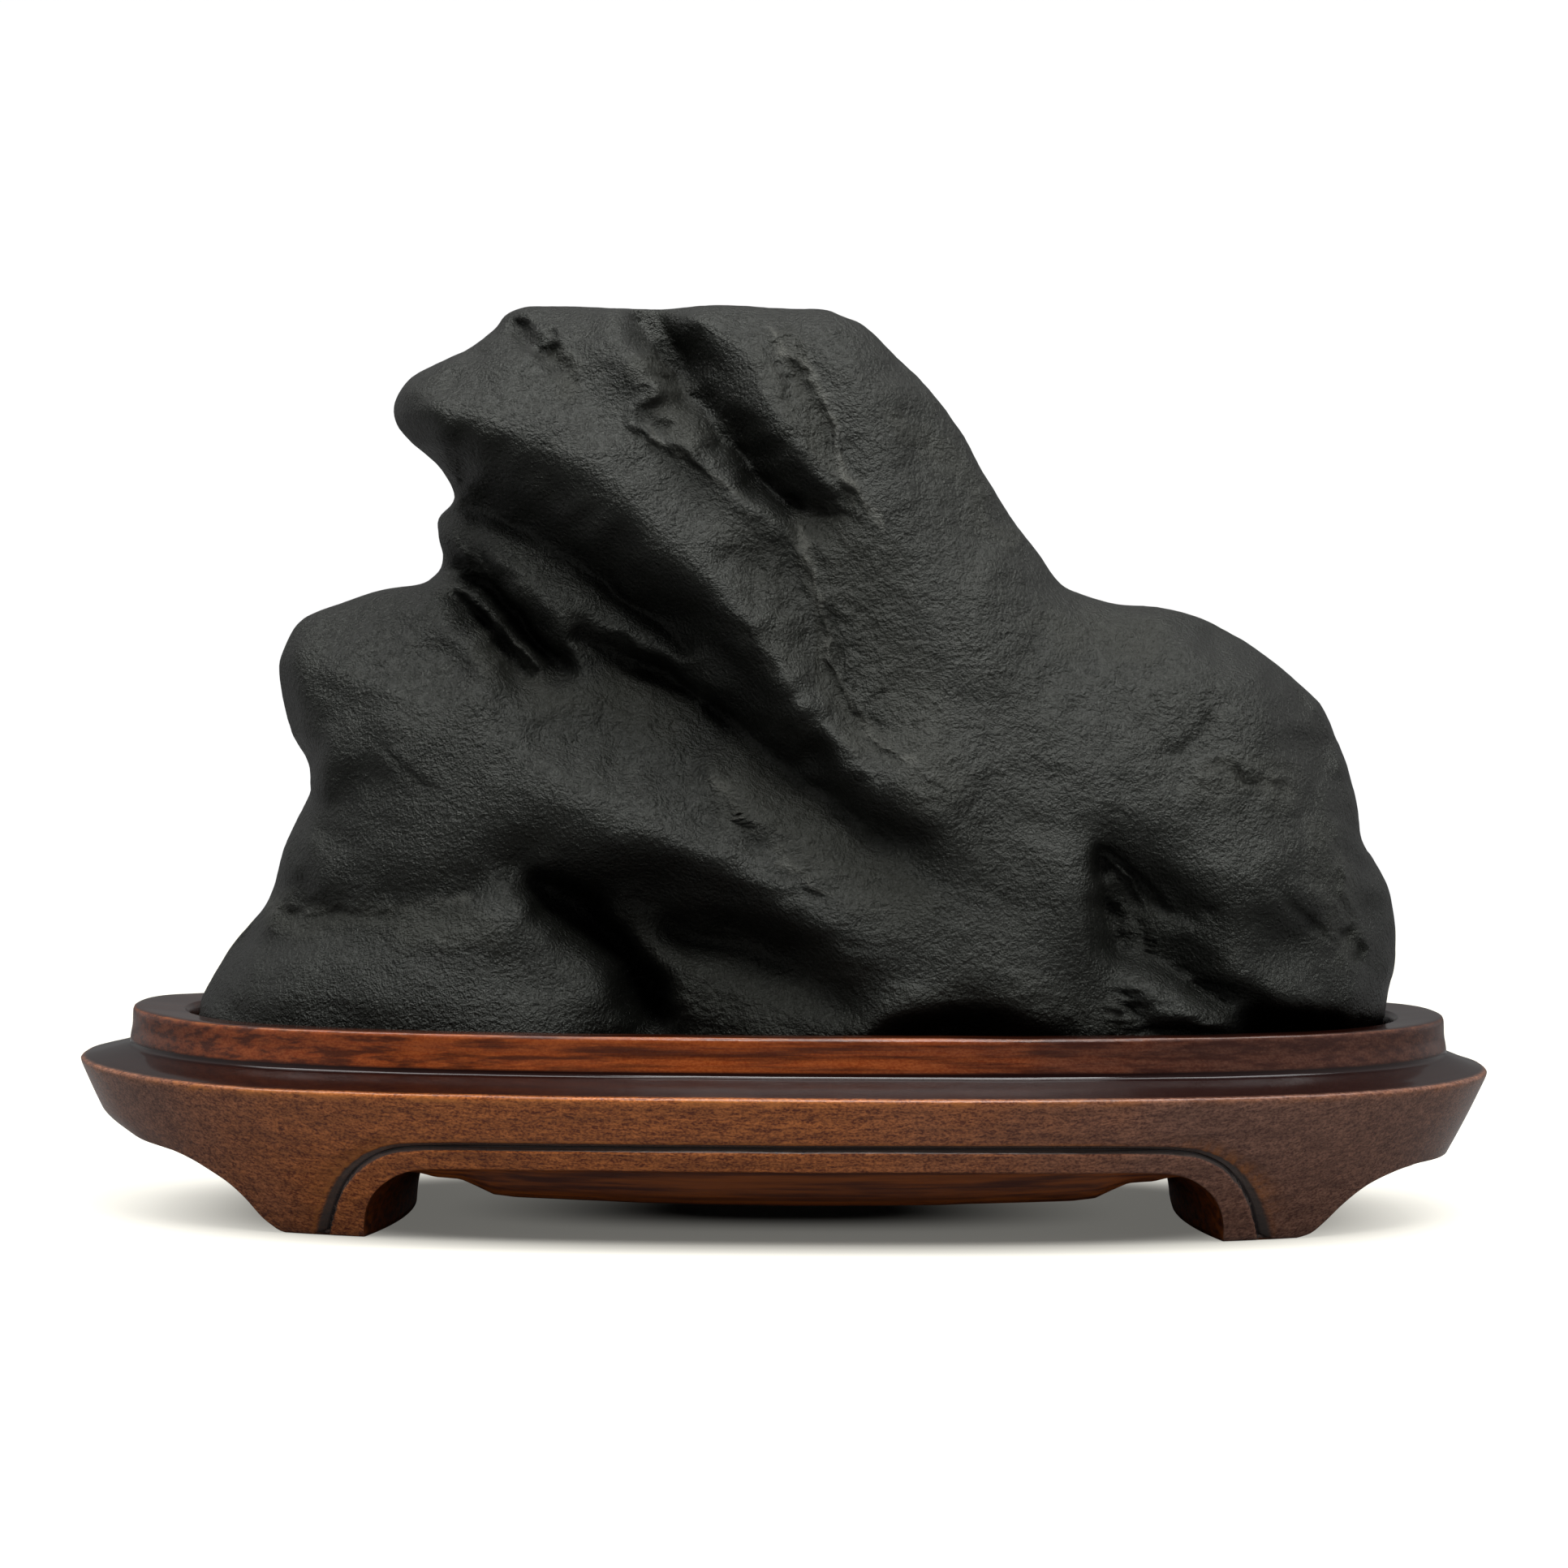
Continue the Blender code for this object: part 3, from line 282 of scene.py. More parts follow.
# Crest and valley lines of the front: rounding radius, then points as X, Z and distance out from Y = 0
FRONT = {
    "top_ridge_crest": (5, [
        (-52, 116, 10), (-46, 116, 14), (-40, 113.5, 16.5), (-34, 110.5, 18), (-28, 107, 19.5),
        (-22, 101.5, 21), (-16, 95, 22.5), (-11, 89, 23.5), (-6, 83, 25), (-2, 77.5, 26), (3, 71, 28),
        (8, 65.5, 29.5), (13, 61, 30.5), (18, 57, 31), (23, 51, 31)]),
    "top_ridge_upper_face": (8, [
        (-40, 120, 11), (-30, 118, 12.5), (-24, 114, 14.5), (-18, 107, 17), (-12, 102, 18),
        (-7, 95, 19.5), (-3, 88, 21.5)]),
    "top_ridge_shoulder": (6, [(-36, 123.5, 8), (-30, 124, 8.5)]),
    "top_ridge_underside": (4, [
        (-50, 110, 12.5), (-44, 107.5, 15.5), (-38, 105, 16.5), (-32, 102, 17), (-27, 98, 17.5),
        (-22, 93, 17.5), (-17, 88.5, 17.5), (-12, 83.5, 18), (-7, 77.5, 19.5), (-3, 72.5, 20.5),
        (2, 67.5, 22.5), (7, 62.5, 25), (12, 58.5, 27), (17, 54.5, 28.5)]),
    "upper_valley": (0.8, [
        (-47, 101, 2), (-42, 99, 6), (-36, 97, 9), (-31, 94.5, 10), (-27, 90.5, 10), (-23, 86.5, 10),
        (-18.5, 83.5, 11), (-14.5, 80, 12.5)]),
    "thin_ridge": (3, [
        (-47.5, 96.5, 5), (-42, 94.5, 10), (-36, 91.5, 13), (-30, 87.5, 14), (-25, 84, 14),
        (-20, 81.8, 14), (-15, 79, 14), (-11, 75.5, 14.5)]),
    "middle_valley": (0.8, [
        (-29, 82, 11.5), (-25, 80.5, 10), (-20, 78.8, 9), (-15, 76.5, 10), (-11, 72.5, 11.5),
        (-7, 69.3, 13), (-3, 66.3, 15), (1, 63.5, 17), (5, 60.7, 19), (9, 57.7, 21.5), (13, 54.2, 24.5),
        (16, 51, 27.5)]),
    "thin_ridge_underside": (3, [(-40, 91, 11.5), (-35, 86, 13), (-31, 80.5, 13.5), (-27, 77, 13.5)]),
    "crack": (0.8, [
        (-48, 91.5, 2.5), (-44.5, 90.3, 4.5), (-41, 88.2, 5), (-38, 85, 5.5), (-35, 81.5, 7),
        (-32, 78, 9.5), (-29.5, 75.8, 13)]),
    "rib_in_crack": (0.6, [
        (-46.8, 88.8, 6), (-43, 86.8, 9.5), (-40, 84, 11), (-37.3, 81, 12), (-35, 78.3, 12.8)]),
    "lower_crack": (0.8, [
        (-46.5, 87, 6), (-43.5, 84.8, 7), (-41, 82, 8.5), (-39, 79, 10), (-36.5, 76.5, 12)]),
    "below_cracks": (5, [
        (-47, 83.5, 11), (-43, 80.5, 13), (-40, 77, 15), (-36, 74, 16.5), (-30, 72.5, 16.5)]),
    "middle_ridge_shoulder": (5, [(-66, 82.5, 7), (-60, 82, 10), (-54, 82, 11), (-48, 79, 13.5)]),
    "middle_ridge_crest": (5, [
        (-69, 78.5, 8), (-65, 77.3, 11.5), (-60, 76, 14.5), (-55, 74.3, 17), (-50, 71.8, 19.5),
        (-45, 69.2, 21.5), (-40, 66.3, 23), (-35, 64, 24.5), (-30, 61.5, 26), (-25, 59, 27),
        (-20, 56.6, 28), (-15, 54.3, 28.7), (-10, 52, 29.5), (-5, 49.5, 30.3), (0, 46.5, 31.3),
        (5, 42.5, 32.4), (10, 38.5, 33), (14, 35, 33)]),
    "middle_ridge_upper_face": (8, [(-32, 68, 20.5), (-24, 66, 20.5), (-17, 63, 22), (-11, 58.5, 25)]),
    "eye_hollow": (3, [(-23, 75, 12.5), (-20, 73.5, 12.5)]),
    "middle_ridge_underside": (6, [
        (-68, 72, 10.5), (-62, 70, 15), (-56, 67, 19), (-50, 63.5, 22), (-44, 60.5, 24), (-38, 58, 25.3),
        (-32, 55.5, 26), (-26, 53.5, 26.5), (-20, 51.5, 26.5), (-14, 49.5, 26.8), (-8, 46.5, 27.5),
        (-3, 44, 28)]),
    "left_face": (6, [(-66, 62, 11.5), (-62, 60, 16), (-55, 57, 21), (-48, 54, 24), (-42, 52, 24.5)]),
    "left_face_foot": (6, [(-68, 52, 12), (-60, 50, 19.5), (-52, 48.5, 23), (-45, 48.5, 24)]),
    "hollow_upper_edge": (1.2, [
        (-37, 50.5, 23), (-31, 49, 22), (-25, 47.5, 20.5), (-19, 46, 20), (-13, 43.5, 21), (-7, 42, 21.5),
        (-2, 40.5, 22.5), (3, 38, 26)]),
    "hollow_bottom": (1.2, [
        (-34, 47, 17), (-28.5, 42.5, 11), (-23.5, 38, 8), (-20, 34, 6.5), (-18.6, 29, 6.5)]),
    "hollow_right_arm": (1.2, [(-15, 41, 14), (-8, 39.5, 17), (-2, 37, 21), (4, 34, 25), (8, 31.5, 28)]),
    "mound_edge": (0.6, [
        (-24, 43.5, 16.5), (-21.5, 41, 17.5), (-18.5, 38, 18.5), (-16.4, 34, 20), (-15.8, 29.5, 21)]),
    "foot_mound": (3, [(-12, 37.5, 19.5), (-6, 36, 21.5), (0, 33.5, 24.5), (5, 31, 27.5)]),
    "foot_mound_base": (3, [(-12, 29, 22), (-8, 30.2, 23.5), (-4, 28.5, 25.5), (2, 27, 28)]),
    "left_ledge_foot": (0.8, [
        (-70, 45.3, 11), (-65, 44.3, 16), (-60, 43.8, 19.5), (-55, 44.3, 21.8), (-50, 45, 23.3),
        (-45, 46, 23.8), (-42, 47.5, 23.8)]),
    "left_ledge_crest": (1, [
        (-72, 42, 10.5), (-66, 41.3, 17), (-60, 41, 20.5), (-55, 41.2, 23.3), (-50, 41.5, 25.3),
        (-46, 42, 26), (-43, 43.5, 26), (-40, 46.5, 25.5), (-36.5, 46.3, 25), (-33.5, 43, 24.5),
        (-30, 39.5, 24), (-26.5, 36.5, 23.5), (-23.5, 33, 23), (-22, 29, 22.5)]),
    "left_bulge": (6, [
        (-78, 36, 9), (-72, 36, 17), (-65, 36, 22), (-58, 36, 25.5), (-50, 36, 28), (-42, 37.5, 28.5),
        (-35, 36.5, 28), (-29, 33.5, 27.5)]),
    "left_bulge_base": (6, [
        (-80, 29, 12), (-74, 29, 19.5), (-66, 29, 24), (-58, 29, 27), (-48, 29, 30), (-38, 29, 31),
        (-30, 29, 29.5), (-25, 29, 27)]),
    "top_groove": (0.8, [
        (-22, 126.8, 2), (-20.3, 124.3, 3.5), (-18.6, 121.3, 4.5), (-16.6, 118.6, 6), (-15, 116, 7.5),
        (-12.8, 113.6, 9), (-10.2, 110.8, 9.5), (-7.5, 107.8, 10), (-4.8, 105, 10.5), (-2, 102.3, 11.5),
        (1, 100.8, 13), (4, 100, 15), (6.5, 99.6, 17), (8.5, 99, 18.8)]),
    "top_groove_left_lip": (1, [
        (-24.5, 127, 6.5), (-22.6, 124, 9.8), (-20.6, 121, 11.5), (-18.6, 118.2, 12.6),
        (-17.4, 115.8, 13.4), (-18, 113.5, 14.2), (-15.6, 111.3, 15.2), (-12.6, 108.4, 16.2),
        (-9.8, 105.7, 17.1), (-7, 102.8, 17.9), (-4, 100, 18.6), (-1, 97.8, 19.1)]),
    "small_ridge_beside_groove": (3, [
        (-13, 127, 7), (-10, 124, 9.5), (-7, 120.5, 12), (-4.5, 116.5, 14.5), (-2.5, 112.5, 16.5),
        (0, 108.5, 17.8), (3, 105, 18.8), (6, 102.5, 19)]),
    "shallow_groove": (1, [
        (-1.5, 124, 9), (1.5, 120.5, 11.5), (3.5, 116, 13.5), (5.5, 111, 15.5), (7, 106.5, 17),
        (9, 102.5, 18)]),
    "right_slope": (10, [
        (5, 124, 10), (9, 119, 12.5), (12, 112, 15), (15, 104, 17), (19, 96, 18.5), (24, 88, 20),
        (29, 79, 22.5), (30, 68, 26), (30, 57, 29), (30, 47, 31), (24, 42, 32.5), (22, 35, 33.5)]),
    "right_slope_edge": (8, [(20, 112, 8.5), (26, 103, 9), (31, 95, 10), (36, 88, 12.5)]),
    "neck": (5, [(40, 83, 14.5), (46, 81, 15)]),
    "dome_top": (10, [(44, 74, 21), (54, 77, 18.5), (62, 76, 17), (68, 70, 18)]),
    "dome_upper_face": (10, [(40, 66, 26), (50, 66, 25), (60, 66, 23.5)]),
    "dome_middle": (10, [(50, 58, 28), (60, 56, 27.5), (70, 56, 23.5), (76, 60, 14)]),
    "dome_lower_face": (10, [(60, 48, 29.5), (70, 46, 26), (78, 50, 16.5)]),
    "dome_right_foot": (6, [(66, 38, 27.5), (74, 38, 23), (80, 40, 15.5)]),
    "dome_lower_edge": (1, [
        (60, 37, 28.5), (63, 34.3, 28), (68.4, 32, 26.5), (75, 30.4, 22), (79, 29.8, 17.5),
        (83, 29.4, 10)]),
    "dome_undercut": (2, [(65, 29.5, 17), (70, 28.8, 15), (76, 28.2, 11)]),
    "upper_floor_edge": (1.5, [
        (0, 96.5, 18.7), (3.2, 87.5, 20.3), (5, 77, 22.8), (8.3, 69.8, 25.2), (11, 67.2, 27)]),
    "upper_floor": (5, [(10, 94, 19.5), (12, 86, 20.6), (14, 78, 22.2), (16, 71, 24.6)]),
    "lower_floor_edge": (1, [
        (-10, 62.5, 23), (-5, 57.8, 25.9), (0, 52, 28.3), (6.5, 47, 30.8)]),
    "lower_floor": (4, [(-6, 64.5, 18.5), (0, 60, 22), (5, 56, 24.8), (9, 52, 27.3), (13, 48, 29.5)]),
    "pillar": (3, [(34, 50, 30.8), (36, 44, 31.8), (38, 38, 32.3), (38, 31, 32)]),
    "pillar_right_edge": (2, [
        (40, 56, 28.8), (41, 50, 29.8), (42.3, 44, 30), (43.5, 38, 30.3), (44, 31, 30.8)]),
    "side_hollow": (1, [
        (42.8, 54.5, 28), (43.6, 52, 26), (44.3, 47, 24.5), (45.6, 43, 23.5), (46.6, 39, 24)]),
    "side_hollow_arm": (1, [(47, 50.3, 25), (50, 47.8, 24.5), (53, 45.6, 25.3), (57, 43.6, 27.3)]),
    "side_hollow_inside": (3, [(49, 44.5, 23.5), (50, 41, 24)]),
    "side_hollow_slope": (3, [(54, 42.5, 26), (57, 39.5, 27)]),
    "toe_seam": (0.8, [
        (48, 39.5, 23.5), (50.5, 38.2, 24), (53.4, 36.6, 24.3), (57.3, 34.9, 25), (61, 34, 25)]),
    "toe": (2.5, [(49.5, 35, 29.5), (53, 33, 31), (57, 31.8, 31), (60, 30.5, 29.5)]),
    "toe_base": (3, [(51, 28.7, 31.5), (57, 28.3, 31)]),
    "foot_arch_edge": (1, [
        (10, 29.3, 32), (15, 29.8, 32.5), (20, 31.2, 32.5), (24, 33.3, 32.3), (27, 33.4, 32.3),
        (31, 30.8, 32.2), (34, 29, 32)]),
    "foot_arch_inside": (1.5, [(16, 28, 27.5), (21, 28.5, 25), (26, 29.5, 24), (30, 28, 26)]),
}

# Crest and valley lines of the back, in the same form
BACK = {
    "top_ridge_crest": (6, [
        (-48, 112, 10), (-36, 106, 15), (-24, 99, 19), (-12, 92, 22), (0, 86, 24), (12, 80, 25.5),
        (24, 74, 26.5)]),
    "top_ridge_upper_face": (5, [(-34, 119, 10), (-22, 113, 13), (-10, 107, 15.5), (-2, 101, 18)]),
    "top_shoulder": (6, [(-24, 123, 8), (-8, 122, 9), (5, 118, 10.5)]),
    "top_groove": (1.5, [(18, 113, 7), (13.5, 107, 10.5), (9.5, 101, 14), (7, 95, 18)]),
    "beside_groove": (4, [(22, 104, 10.5), (19, 97, 14.5), (17, 90, 18.5)]),
    "upper_valley": (1, [
        (-46, 100, 4), (-34, 92, 11), (-20, 84, 15), (-6, 76, 18.5), (10, 70, 21.5), (24, 63, 24.5)]),
    "middle_ridge_crest": (6, [
        (-66, 76, 11), (-54, 70, 18), (-42, 66, 22.5), (-28, 61, 26), (-12, 56, 29), (4, 51, 31),
        (18, 47, 32.5)]),
    "hollow": (1, [(-38, 50, 21), (-26, 46, 19), (-14, 41, 20), (-4, 37, 23), (6, 33, 27)]),
    "left_face": (6, [(-64, 60, 16), (-52, 54, 22), (-44, 51, 23)]),
    "left_bulge": (6, [(-72, 38, 15), (-60, 38, 23), (-46, 38, 28), (-34, 38, 27), (-24, 34, 27)]),
    "right_slope": (8, [
        (28, 98, 9), (31, 90, 13.5), (36, 82, 17.5), (44, 77, 18), (56, 76, 17), (68, 70, 16)]),
    "dome": (8, [(46, 64, 25), (58, 62, 25), (70, 56, 21)]),
    "side_hollow": (1.5, [(48, 56, 27), (52, 48, 22), (54, 40, 21), (52, 33, 25)]),
    "dome_foot": (6, [(62, 46, 28), (72, 42, 23), (80, 44, 14)]),
    "pillar": (5, [(36, 50, 31), (38, 38, 32)]),
    "base": (6, [
        (-76, 29, 17), (-60, 29, 26.5), (-40, 29, 30.5), (-20, 29, 31), (0, 29, 33), (20, 29, 33),
        (40, 29, 31.5), (60, 29, 27), (76, 29, 18)]),
}

# Sharp seams and lips too fine for the solids: width (or widths to the right and to the left of a line
# drawn downwards), height (below zero for a cut), points as X and Z
STROKES = {
    "upper_floor_drop": ((2.2, 6.0), -1.5, [
        (-1.5, 101), (0.5, 97), (2.2, 92.3), (3.6, 87.6), (4.4, 82.7), (5.6, 77.4), (7.4, 73.5),
        (9.8, 70), (13, 67), (17, 64.5)]),
    "upper_floor_lip": (0.6, 0.7, [
        (1.7, 97), (3.4, 92.3), (4.8, 87.6), (5.6, 82.7), (6.8, 77.4), (8.6, 73.7), (11, 70.4),
        (14, 67.6), (18, 65)]),
    "lower_floor_drop": ((1.6, 3.2), -1.0, [
        (-11, 63), (-8.5, 60.2), (-6, 57.3), (-3.4, 54.2), (-0.6, 51.2), (2.4, 48.6), (6, 46.4)]),
    "lower_floor_lip": (0.5, 0.7, [
        (-10, 63), (-7.5, 60.2), (-5, 57.3), (-2.4, 54.2), (0.4, 51.3), (3.4, 48.8), (7, 46.6)]),
    "crescent": (1.8, -2.4, [(-40.3, 125.5), (-37, 124.9), (-34.5, 122.8), (-32.5, 120.8), (-31, 118.8)]),
    "crescent_brow": (1.3, 0.7, [(-39, 127.6), (-35, 126.8), (-32, 124), (-30, 121.5)]),
    "hook_cut": (0.8, -1.6, [
        (-20.4, 122.5), (-18.3, 119.4), (-16.8, 116.6), (-17.2, 114.6), (-19.2, 113.4)]),
    "hook_lip": (0.7, 0.9, [
        (-22.8, 123.9), (-20.9, 121.3), (-18.9, 118.6), (-18.2, 116.2), (-19.6, 115), (-21.3, 113.8),
        (-21.4, 111.7), (-19, 109.6), (-15.4, 108.6), (-11.8, 106.4), (-8.4, 103.4)]),
    "hook_pit": (1.1, -1.2, [(-19.3, 112.3), (-17, 111)]),
    "groove_deep": (1.6, -1.4, [
        (-20, 124), (-17.6, 120), (-15, 116), (-11.5, 112.3), (-7.5, 107.8), (-3, 103.3)]),
    "groove_end": (0.8, -1.4, [(-1, 101.6), (2, 100.6), (5.5, 99.9), (9.3, 98.9)]),
    "thin_scarp_drop": ((1.5, 3.4), -1.1, [
        (-3, 123.5), (0, 120.5), (2.4, 117), (4.2, 113.4), (5.4, 109.4), (6.8, 105.8), (8.6, 102.6),
        (10.6, 99.6)]),
    "thin_scarp": (0.6, 0.9, [
        (-2, 124), (1, 121), (3.6, 117.3), (5.4, 113.6), (6.6, 109.6), (8, 106), (9.8, 102.8),
        (11.8, 99.8)]),
    "thin_scarp_pit": (0.9, -1.1, [(-1.7, 121.2), (-0.5, 118.8), (0.6, 117.6)]),
    "face_line": (0.5, -0.4, [(-57, 67), (-54, 64.8), (-52, 63), (-49, 60.8)]),
    "slash": (0.6, -0.6, [(8.8, 41.6), (9.5, 40.5), (10.2, 39.6)]),
    "crescent_pit": (0.7, -0.6, [(-6.2, 54.5), (-5, 54), (-4, 53)]),
    "rib": (0.5, 1.3, [(-47.6, 89.6), (-44, 87.2), (-40.5, 84), (-37.3, 80.6), (-34.8, 77.6)]),
    "crack_deep": (1.1, -2.2, [
        (-46.8, 90.8), (-43, 88.8), (-39.5, 85.5), (-36.5, 82), (-33.5, 78.6), (-30.5, 75.6)]),
    "lower_crack_deep": (0.9, -1.5, [
        (-47, 87.5), (-43.5, 84.8), (-40.8, 81.6), (-38.2, 78), (-36.3, 75.8)]),
    "thin_ridge_edge": (0.5, 0.8, [(-47.5, 96), (-44.5, 92.8), (-42, 90.2), (-39.5, 88)]),
    "middle_valley_deep": (1.1, -1.6, [(-26, 80.8), (-20, 78.4), (-14, 75.3), (-9, 70.8), (-4, 66.8)]),
    "dome_dent": (1.4, -0.8, [(60, 76), (58.5, 72), (58, 69.5), (55.5, 67), (53, 64.5)]),
    "dome_facet": (1.6, 0.5, [(62, 66), (66, 63.5), (71, 62)]),
    "right_pit": (1.1, -1.5, [(77.5, 41.4), (79.4, 39.9), (81, 37.8)]),
    "right_line": (0.5, -0.5, [(67.3, 48.3), (71, 44.6), (75.5, 41), (82, 36.2)]),
    "dome_hole": (0.6, -1.3, [(57.8, 45.1), (58.9, 44.8)]),
    "hollow_shaft": (0.7, -1.6, [(42.8, 54.3), (43.3, 50), (44.5, 45.5), (46.3, 41.3), (47.1, 38.2)]),
    "hollow_arm_upper": (0.7, -1.4, [(43, 53.6), (47.2, 50.2), (51.7, 46), (55.5, 43.6)]),
    "hollow_arm_lower": (0.5, -1.0, [(43.6, 51.5), (47, 47.5), (49.5, 44.5)]),
    "toe_top": (0.7, -1.6, [(47.9, 44.5), (50, 39.8), (53.4, 36.7), (57.3, 34.9), (61.7, 33.8)]),
    "toe_side": (0.6, -1.8, [(46.6, 34), (48.6, 31), (51.1, 28.4)]),
    "toe_swell": (2.2, 1.2, [(49.5, 34.5), (53, 32.8), (57, 31.6), (60, 30.6)]),
    "toe_left_column": (0.6, 0.9, [(45.6, 33), (46.3, 30.5), (46.8, 28.8)]),
    "valley_wrinkle_a": (0.5, -0.7, [(-24, 76.5), (-21.5, 77.3), (-19, 76.2), (-17.8, 73.8)]),
    "valley_wrinkle_b": (0.5, -0.7, [(-23, 73.5), (-21, 71.6), (-18.4, 71.8)]),
    "dome_patch_edge": (0.6, -0.7, [(57, 63.5), (60.5, 64.6), (64, 62.6), (68, 62.4), (71, 60)]),
    "edge_facet": (0.7, 0.8, [(73.5, 56), (76.3, 52.6), (78, 48), (80.5, 44.5)]),
    "left_fold": (0.6, -0.7, [(-73, 43.2), (-67, 42.8), (-61, 43.6), (-56, 43.2), (-51, 45)]),
}

# Places where the skin is broken and rough: reach, how rough, points as X and Z
ROUGH = {
    "crescent_rim": (2.2, 1.0, [(-33, 121), (-31, 119.5), (-29, 118), (-31, 116.5)]),
    "top_scarp": (2.4, 1.0, [(-20, 121), (-17, 118.5), (-15.5, 116), (-17, 114), (-13, 110.5)]),
    "thin_scarp": (2.2, 1.0, [(0, 123), (3, 116), (5.5, 108), (9, 102)]),
    "beside_thin_scarp": (3.0, 0.7, [(-3, 121), (-1, 117), (1, 113)]),
    "right_slope_top": (2.5, 1.0, [(16, 112), (19, 110), (26.5, 103.5), (28, 98), (31, 96.5)]),
    "right_slope": (15.0, 0.4, [(16, 116), (24, 100), (27, 84), (30, 68), (30, 50), (26, 36)]),
    "upper_floor": (7.5, 0.9, [(7, 97), (11, 88), (14, 80), (18, 70), (20, 63)]),
    "upper_floor_lip": (2.2, 1.0, [(1.5, 97), (4.6, 87.6), (6.4, 77.4), (9.6, 70.6), (14, 66.5)]),
    "ridge_end": (6.0, 0.6, [(-6, 96), (-3, 88), (0, 80)]),
    "lower_floor": (5.5, 1.0, [(-6, 62), (0, 58), (6, 54), (12, 49), (16, 46)]),
    "eye": (4.5, 1.0, [(-24, 76), (-21, 74), (-18, 72)]),
    "below_rib": (3.5, 0.8, [(-42, 81), (-37, 77), (-33, 74), (-27, 73)]),
    "thin_ridge": (3.0, 0.5, [(-44, 93), (-34, 86), (-26, 81)]),
    "left_ledge": (3.0, 1.0, [(-72, 43), (-62, 43), (-50, 42), (-42, 42)]),
    "foot_mound": (6.0, 1.0, [(-12, 32), (-4, 31), (4, 33)]),
    "foot": (4.0, 0.7, [(10, 30), (30, 34), (44, 30)]),
    "dome_patch": (4.0, 0.9, [(58, 62), (64, 64), (70, 61)]),
    "dome": (14.0, 0.35, [(50, 74), (62, 68), (70, 56)]),
    "neck": (4.0, 0.8, [(37, 85), (44, 83), (50, 82)]),
    "right_edge": (4.0, 1.0, [(75, 54), (77, 47), (79, 41)]),
    "hollow": (5.0, 0.9, [(-22, 42), (-12, 38), (-4, 36)]),
    "side_hollow": (4.0, 0.7, [(45, 46), (50, 42)]),
}

# Ragged pale edges, worn and carrying a painted highlight of light catching them: reach, how pale, points
# as X and Z
PALE_HIGHLIGHT_LINES = {
    "upper_floor": (0.42, 1.0, [
        (1.2, 98), (3.1, 93), (4.6, 88), (5.4, 83), (6.4, 78), (8.1, 74), (10.4, 70.8), (13.4, 68),
        (17, 65.4)]),
    "lower_floor": (0.4, 0.9, [
        (-10.5, 63.2), (-7.8, 60.4), (-5.3, 57.5), (-2.7, 54.4), (0.1, 51.5), (3.1, 49), (6.7, 46.8)]),
    "thin_scarp": (0.42, 1.0, [
        (-2.6, 125.6), (-1, 122.4), (1.6, 120.6), (4, 116.8), (5.6, 113), (6.8, 109), (8.2, 105.6),
        (10, 102.4), (13, 97)]),
    "hook": (0.4, 0.6, [(-20.6, 112.2), (-17.8, 109.3), (-14.6, 107.8), (-11, 105.6), (-8, 102.6)]),
    "left_ledge": (0.4, 0.6, [(-74, 43.8), (-68, 43.5), (-62, 44.2), (-56, 43.8), (-50, 45.4), (-44, 46)]),
    "dome_patch": (0.4, 0.5, [(56, 63.6), (60, 65), (64, 63), (68, 62.8), (71, 60.5)]),
    "side_hollow": (0.4, 0.5, [(44.5, 33), (45.2, 30.5), (45.8, 28.8)]),
}


# ---------------------------------------------------------------- finishes

# Stone: noise scale per metre, detail and roughness of each layer, and how far the bump stands out
STONE_NOISE = {
    "fine": (1800.0, 3.0, 0.65), "leather": (900.0, 3.0, 0.6), "coarse": (540.0, 4.0, 0.65),
    "blotch": (60.0, 4.0, 0.6),
}
FINE_SHARE = 1.15
LEATHER_SHARE = 0.5
COARSE_SHARES = (0.5, 2.6)
SKIN_BUMP = 0.00042
DARK_STONE = (0.0036, 0.0037, 0.0030), (0.0056, 0.0058, 0.0047)
ROUGH_STONE = (0.0150, 0.0152, 0.0125)
# Pale edges: worn stone with a painted highlight on it
PALE_HIGHLIGHT_STONE = (0.0620, 0.0620, 0.0540)
STONE_SATIN = (0.26, 0.42)
ROUGH_SKIN_SATIN = 0.14
STONE_TINT = (0.96, 1.0, 0.92, 1.0)

# Wood: noise scale per metre, stretch along X, Y and Z, and detail of each layer
WOOD_NOISE = {
    "speckle": (3800.0, (0.6, 1.0, 1.0), 2.0), "streaks": (2200.0, (0.2, 1.0, 1.0), 3.0),
    "bands": (620.0, (0.06, 1.0, 1.6), 4.0), "cloud": (45.0, (1.0, 1.0, 1.0), 3.0),
    "chips": (700.0, (0.4, 1.0, 1.0), 3.0),
}
MIDDLE_WOOD = (0.1250, 0.0220, 0.0050), (0.6200, 0.1950, 0.0480)
# Ends of the wall: darker wood greyed by a painted reflection of the white surroundings
SHEENED_END_WOOD = (0.0900, 0.0330, 0.0220), (0.3100, 0.1500, 0.0980)
COLLAR_WOOD = (0.2300, 0.0390, 0.0050), (0.0060, 0.0012, 0.0008)
BAND_WOOD = (0.0260, 0.0045, 0.0020)
BARE_WOOD = (0.4000, 0.0950, 0.0080), (0.0900, 0.0150, 0.0015)
WORN_WOOD = (0.5000, 0.1700, 0.0360)
# Grey painted reflection of the floor on the groove's upper flank, which faces down
GROOVE_FLANK_REFLECTION = (0.0600, 0.0500, 0.0460)
# Near-black stain of the seat, rim and ledge, also used as painted shade in the groove's bottom
STAIN_AND_GROOVE_SHADE = (0.0080, 0.0018, 0.0016)

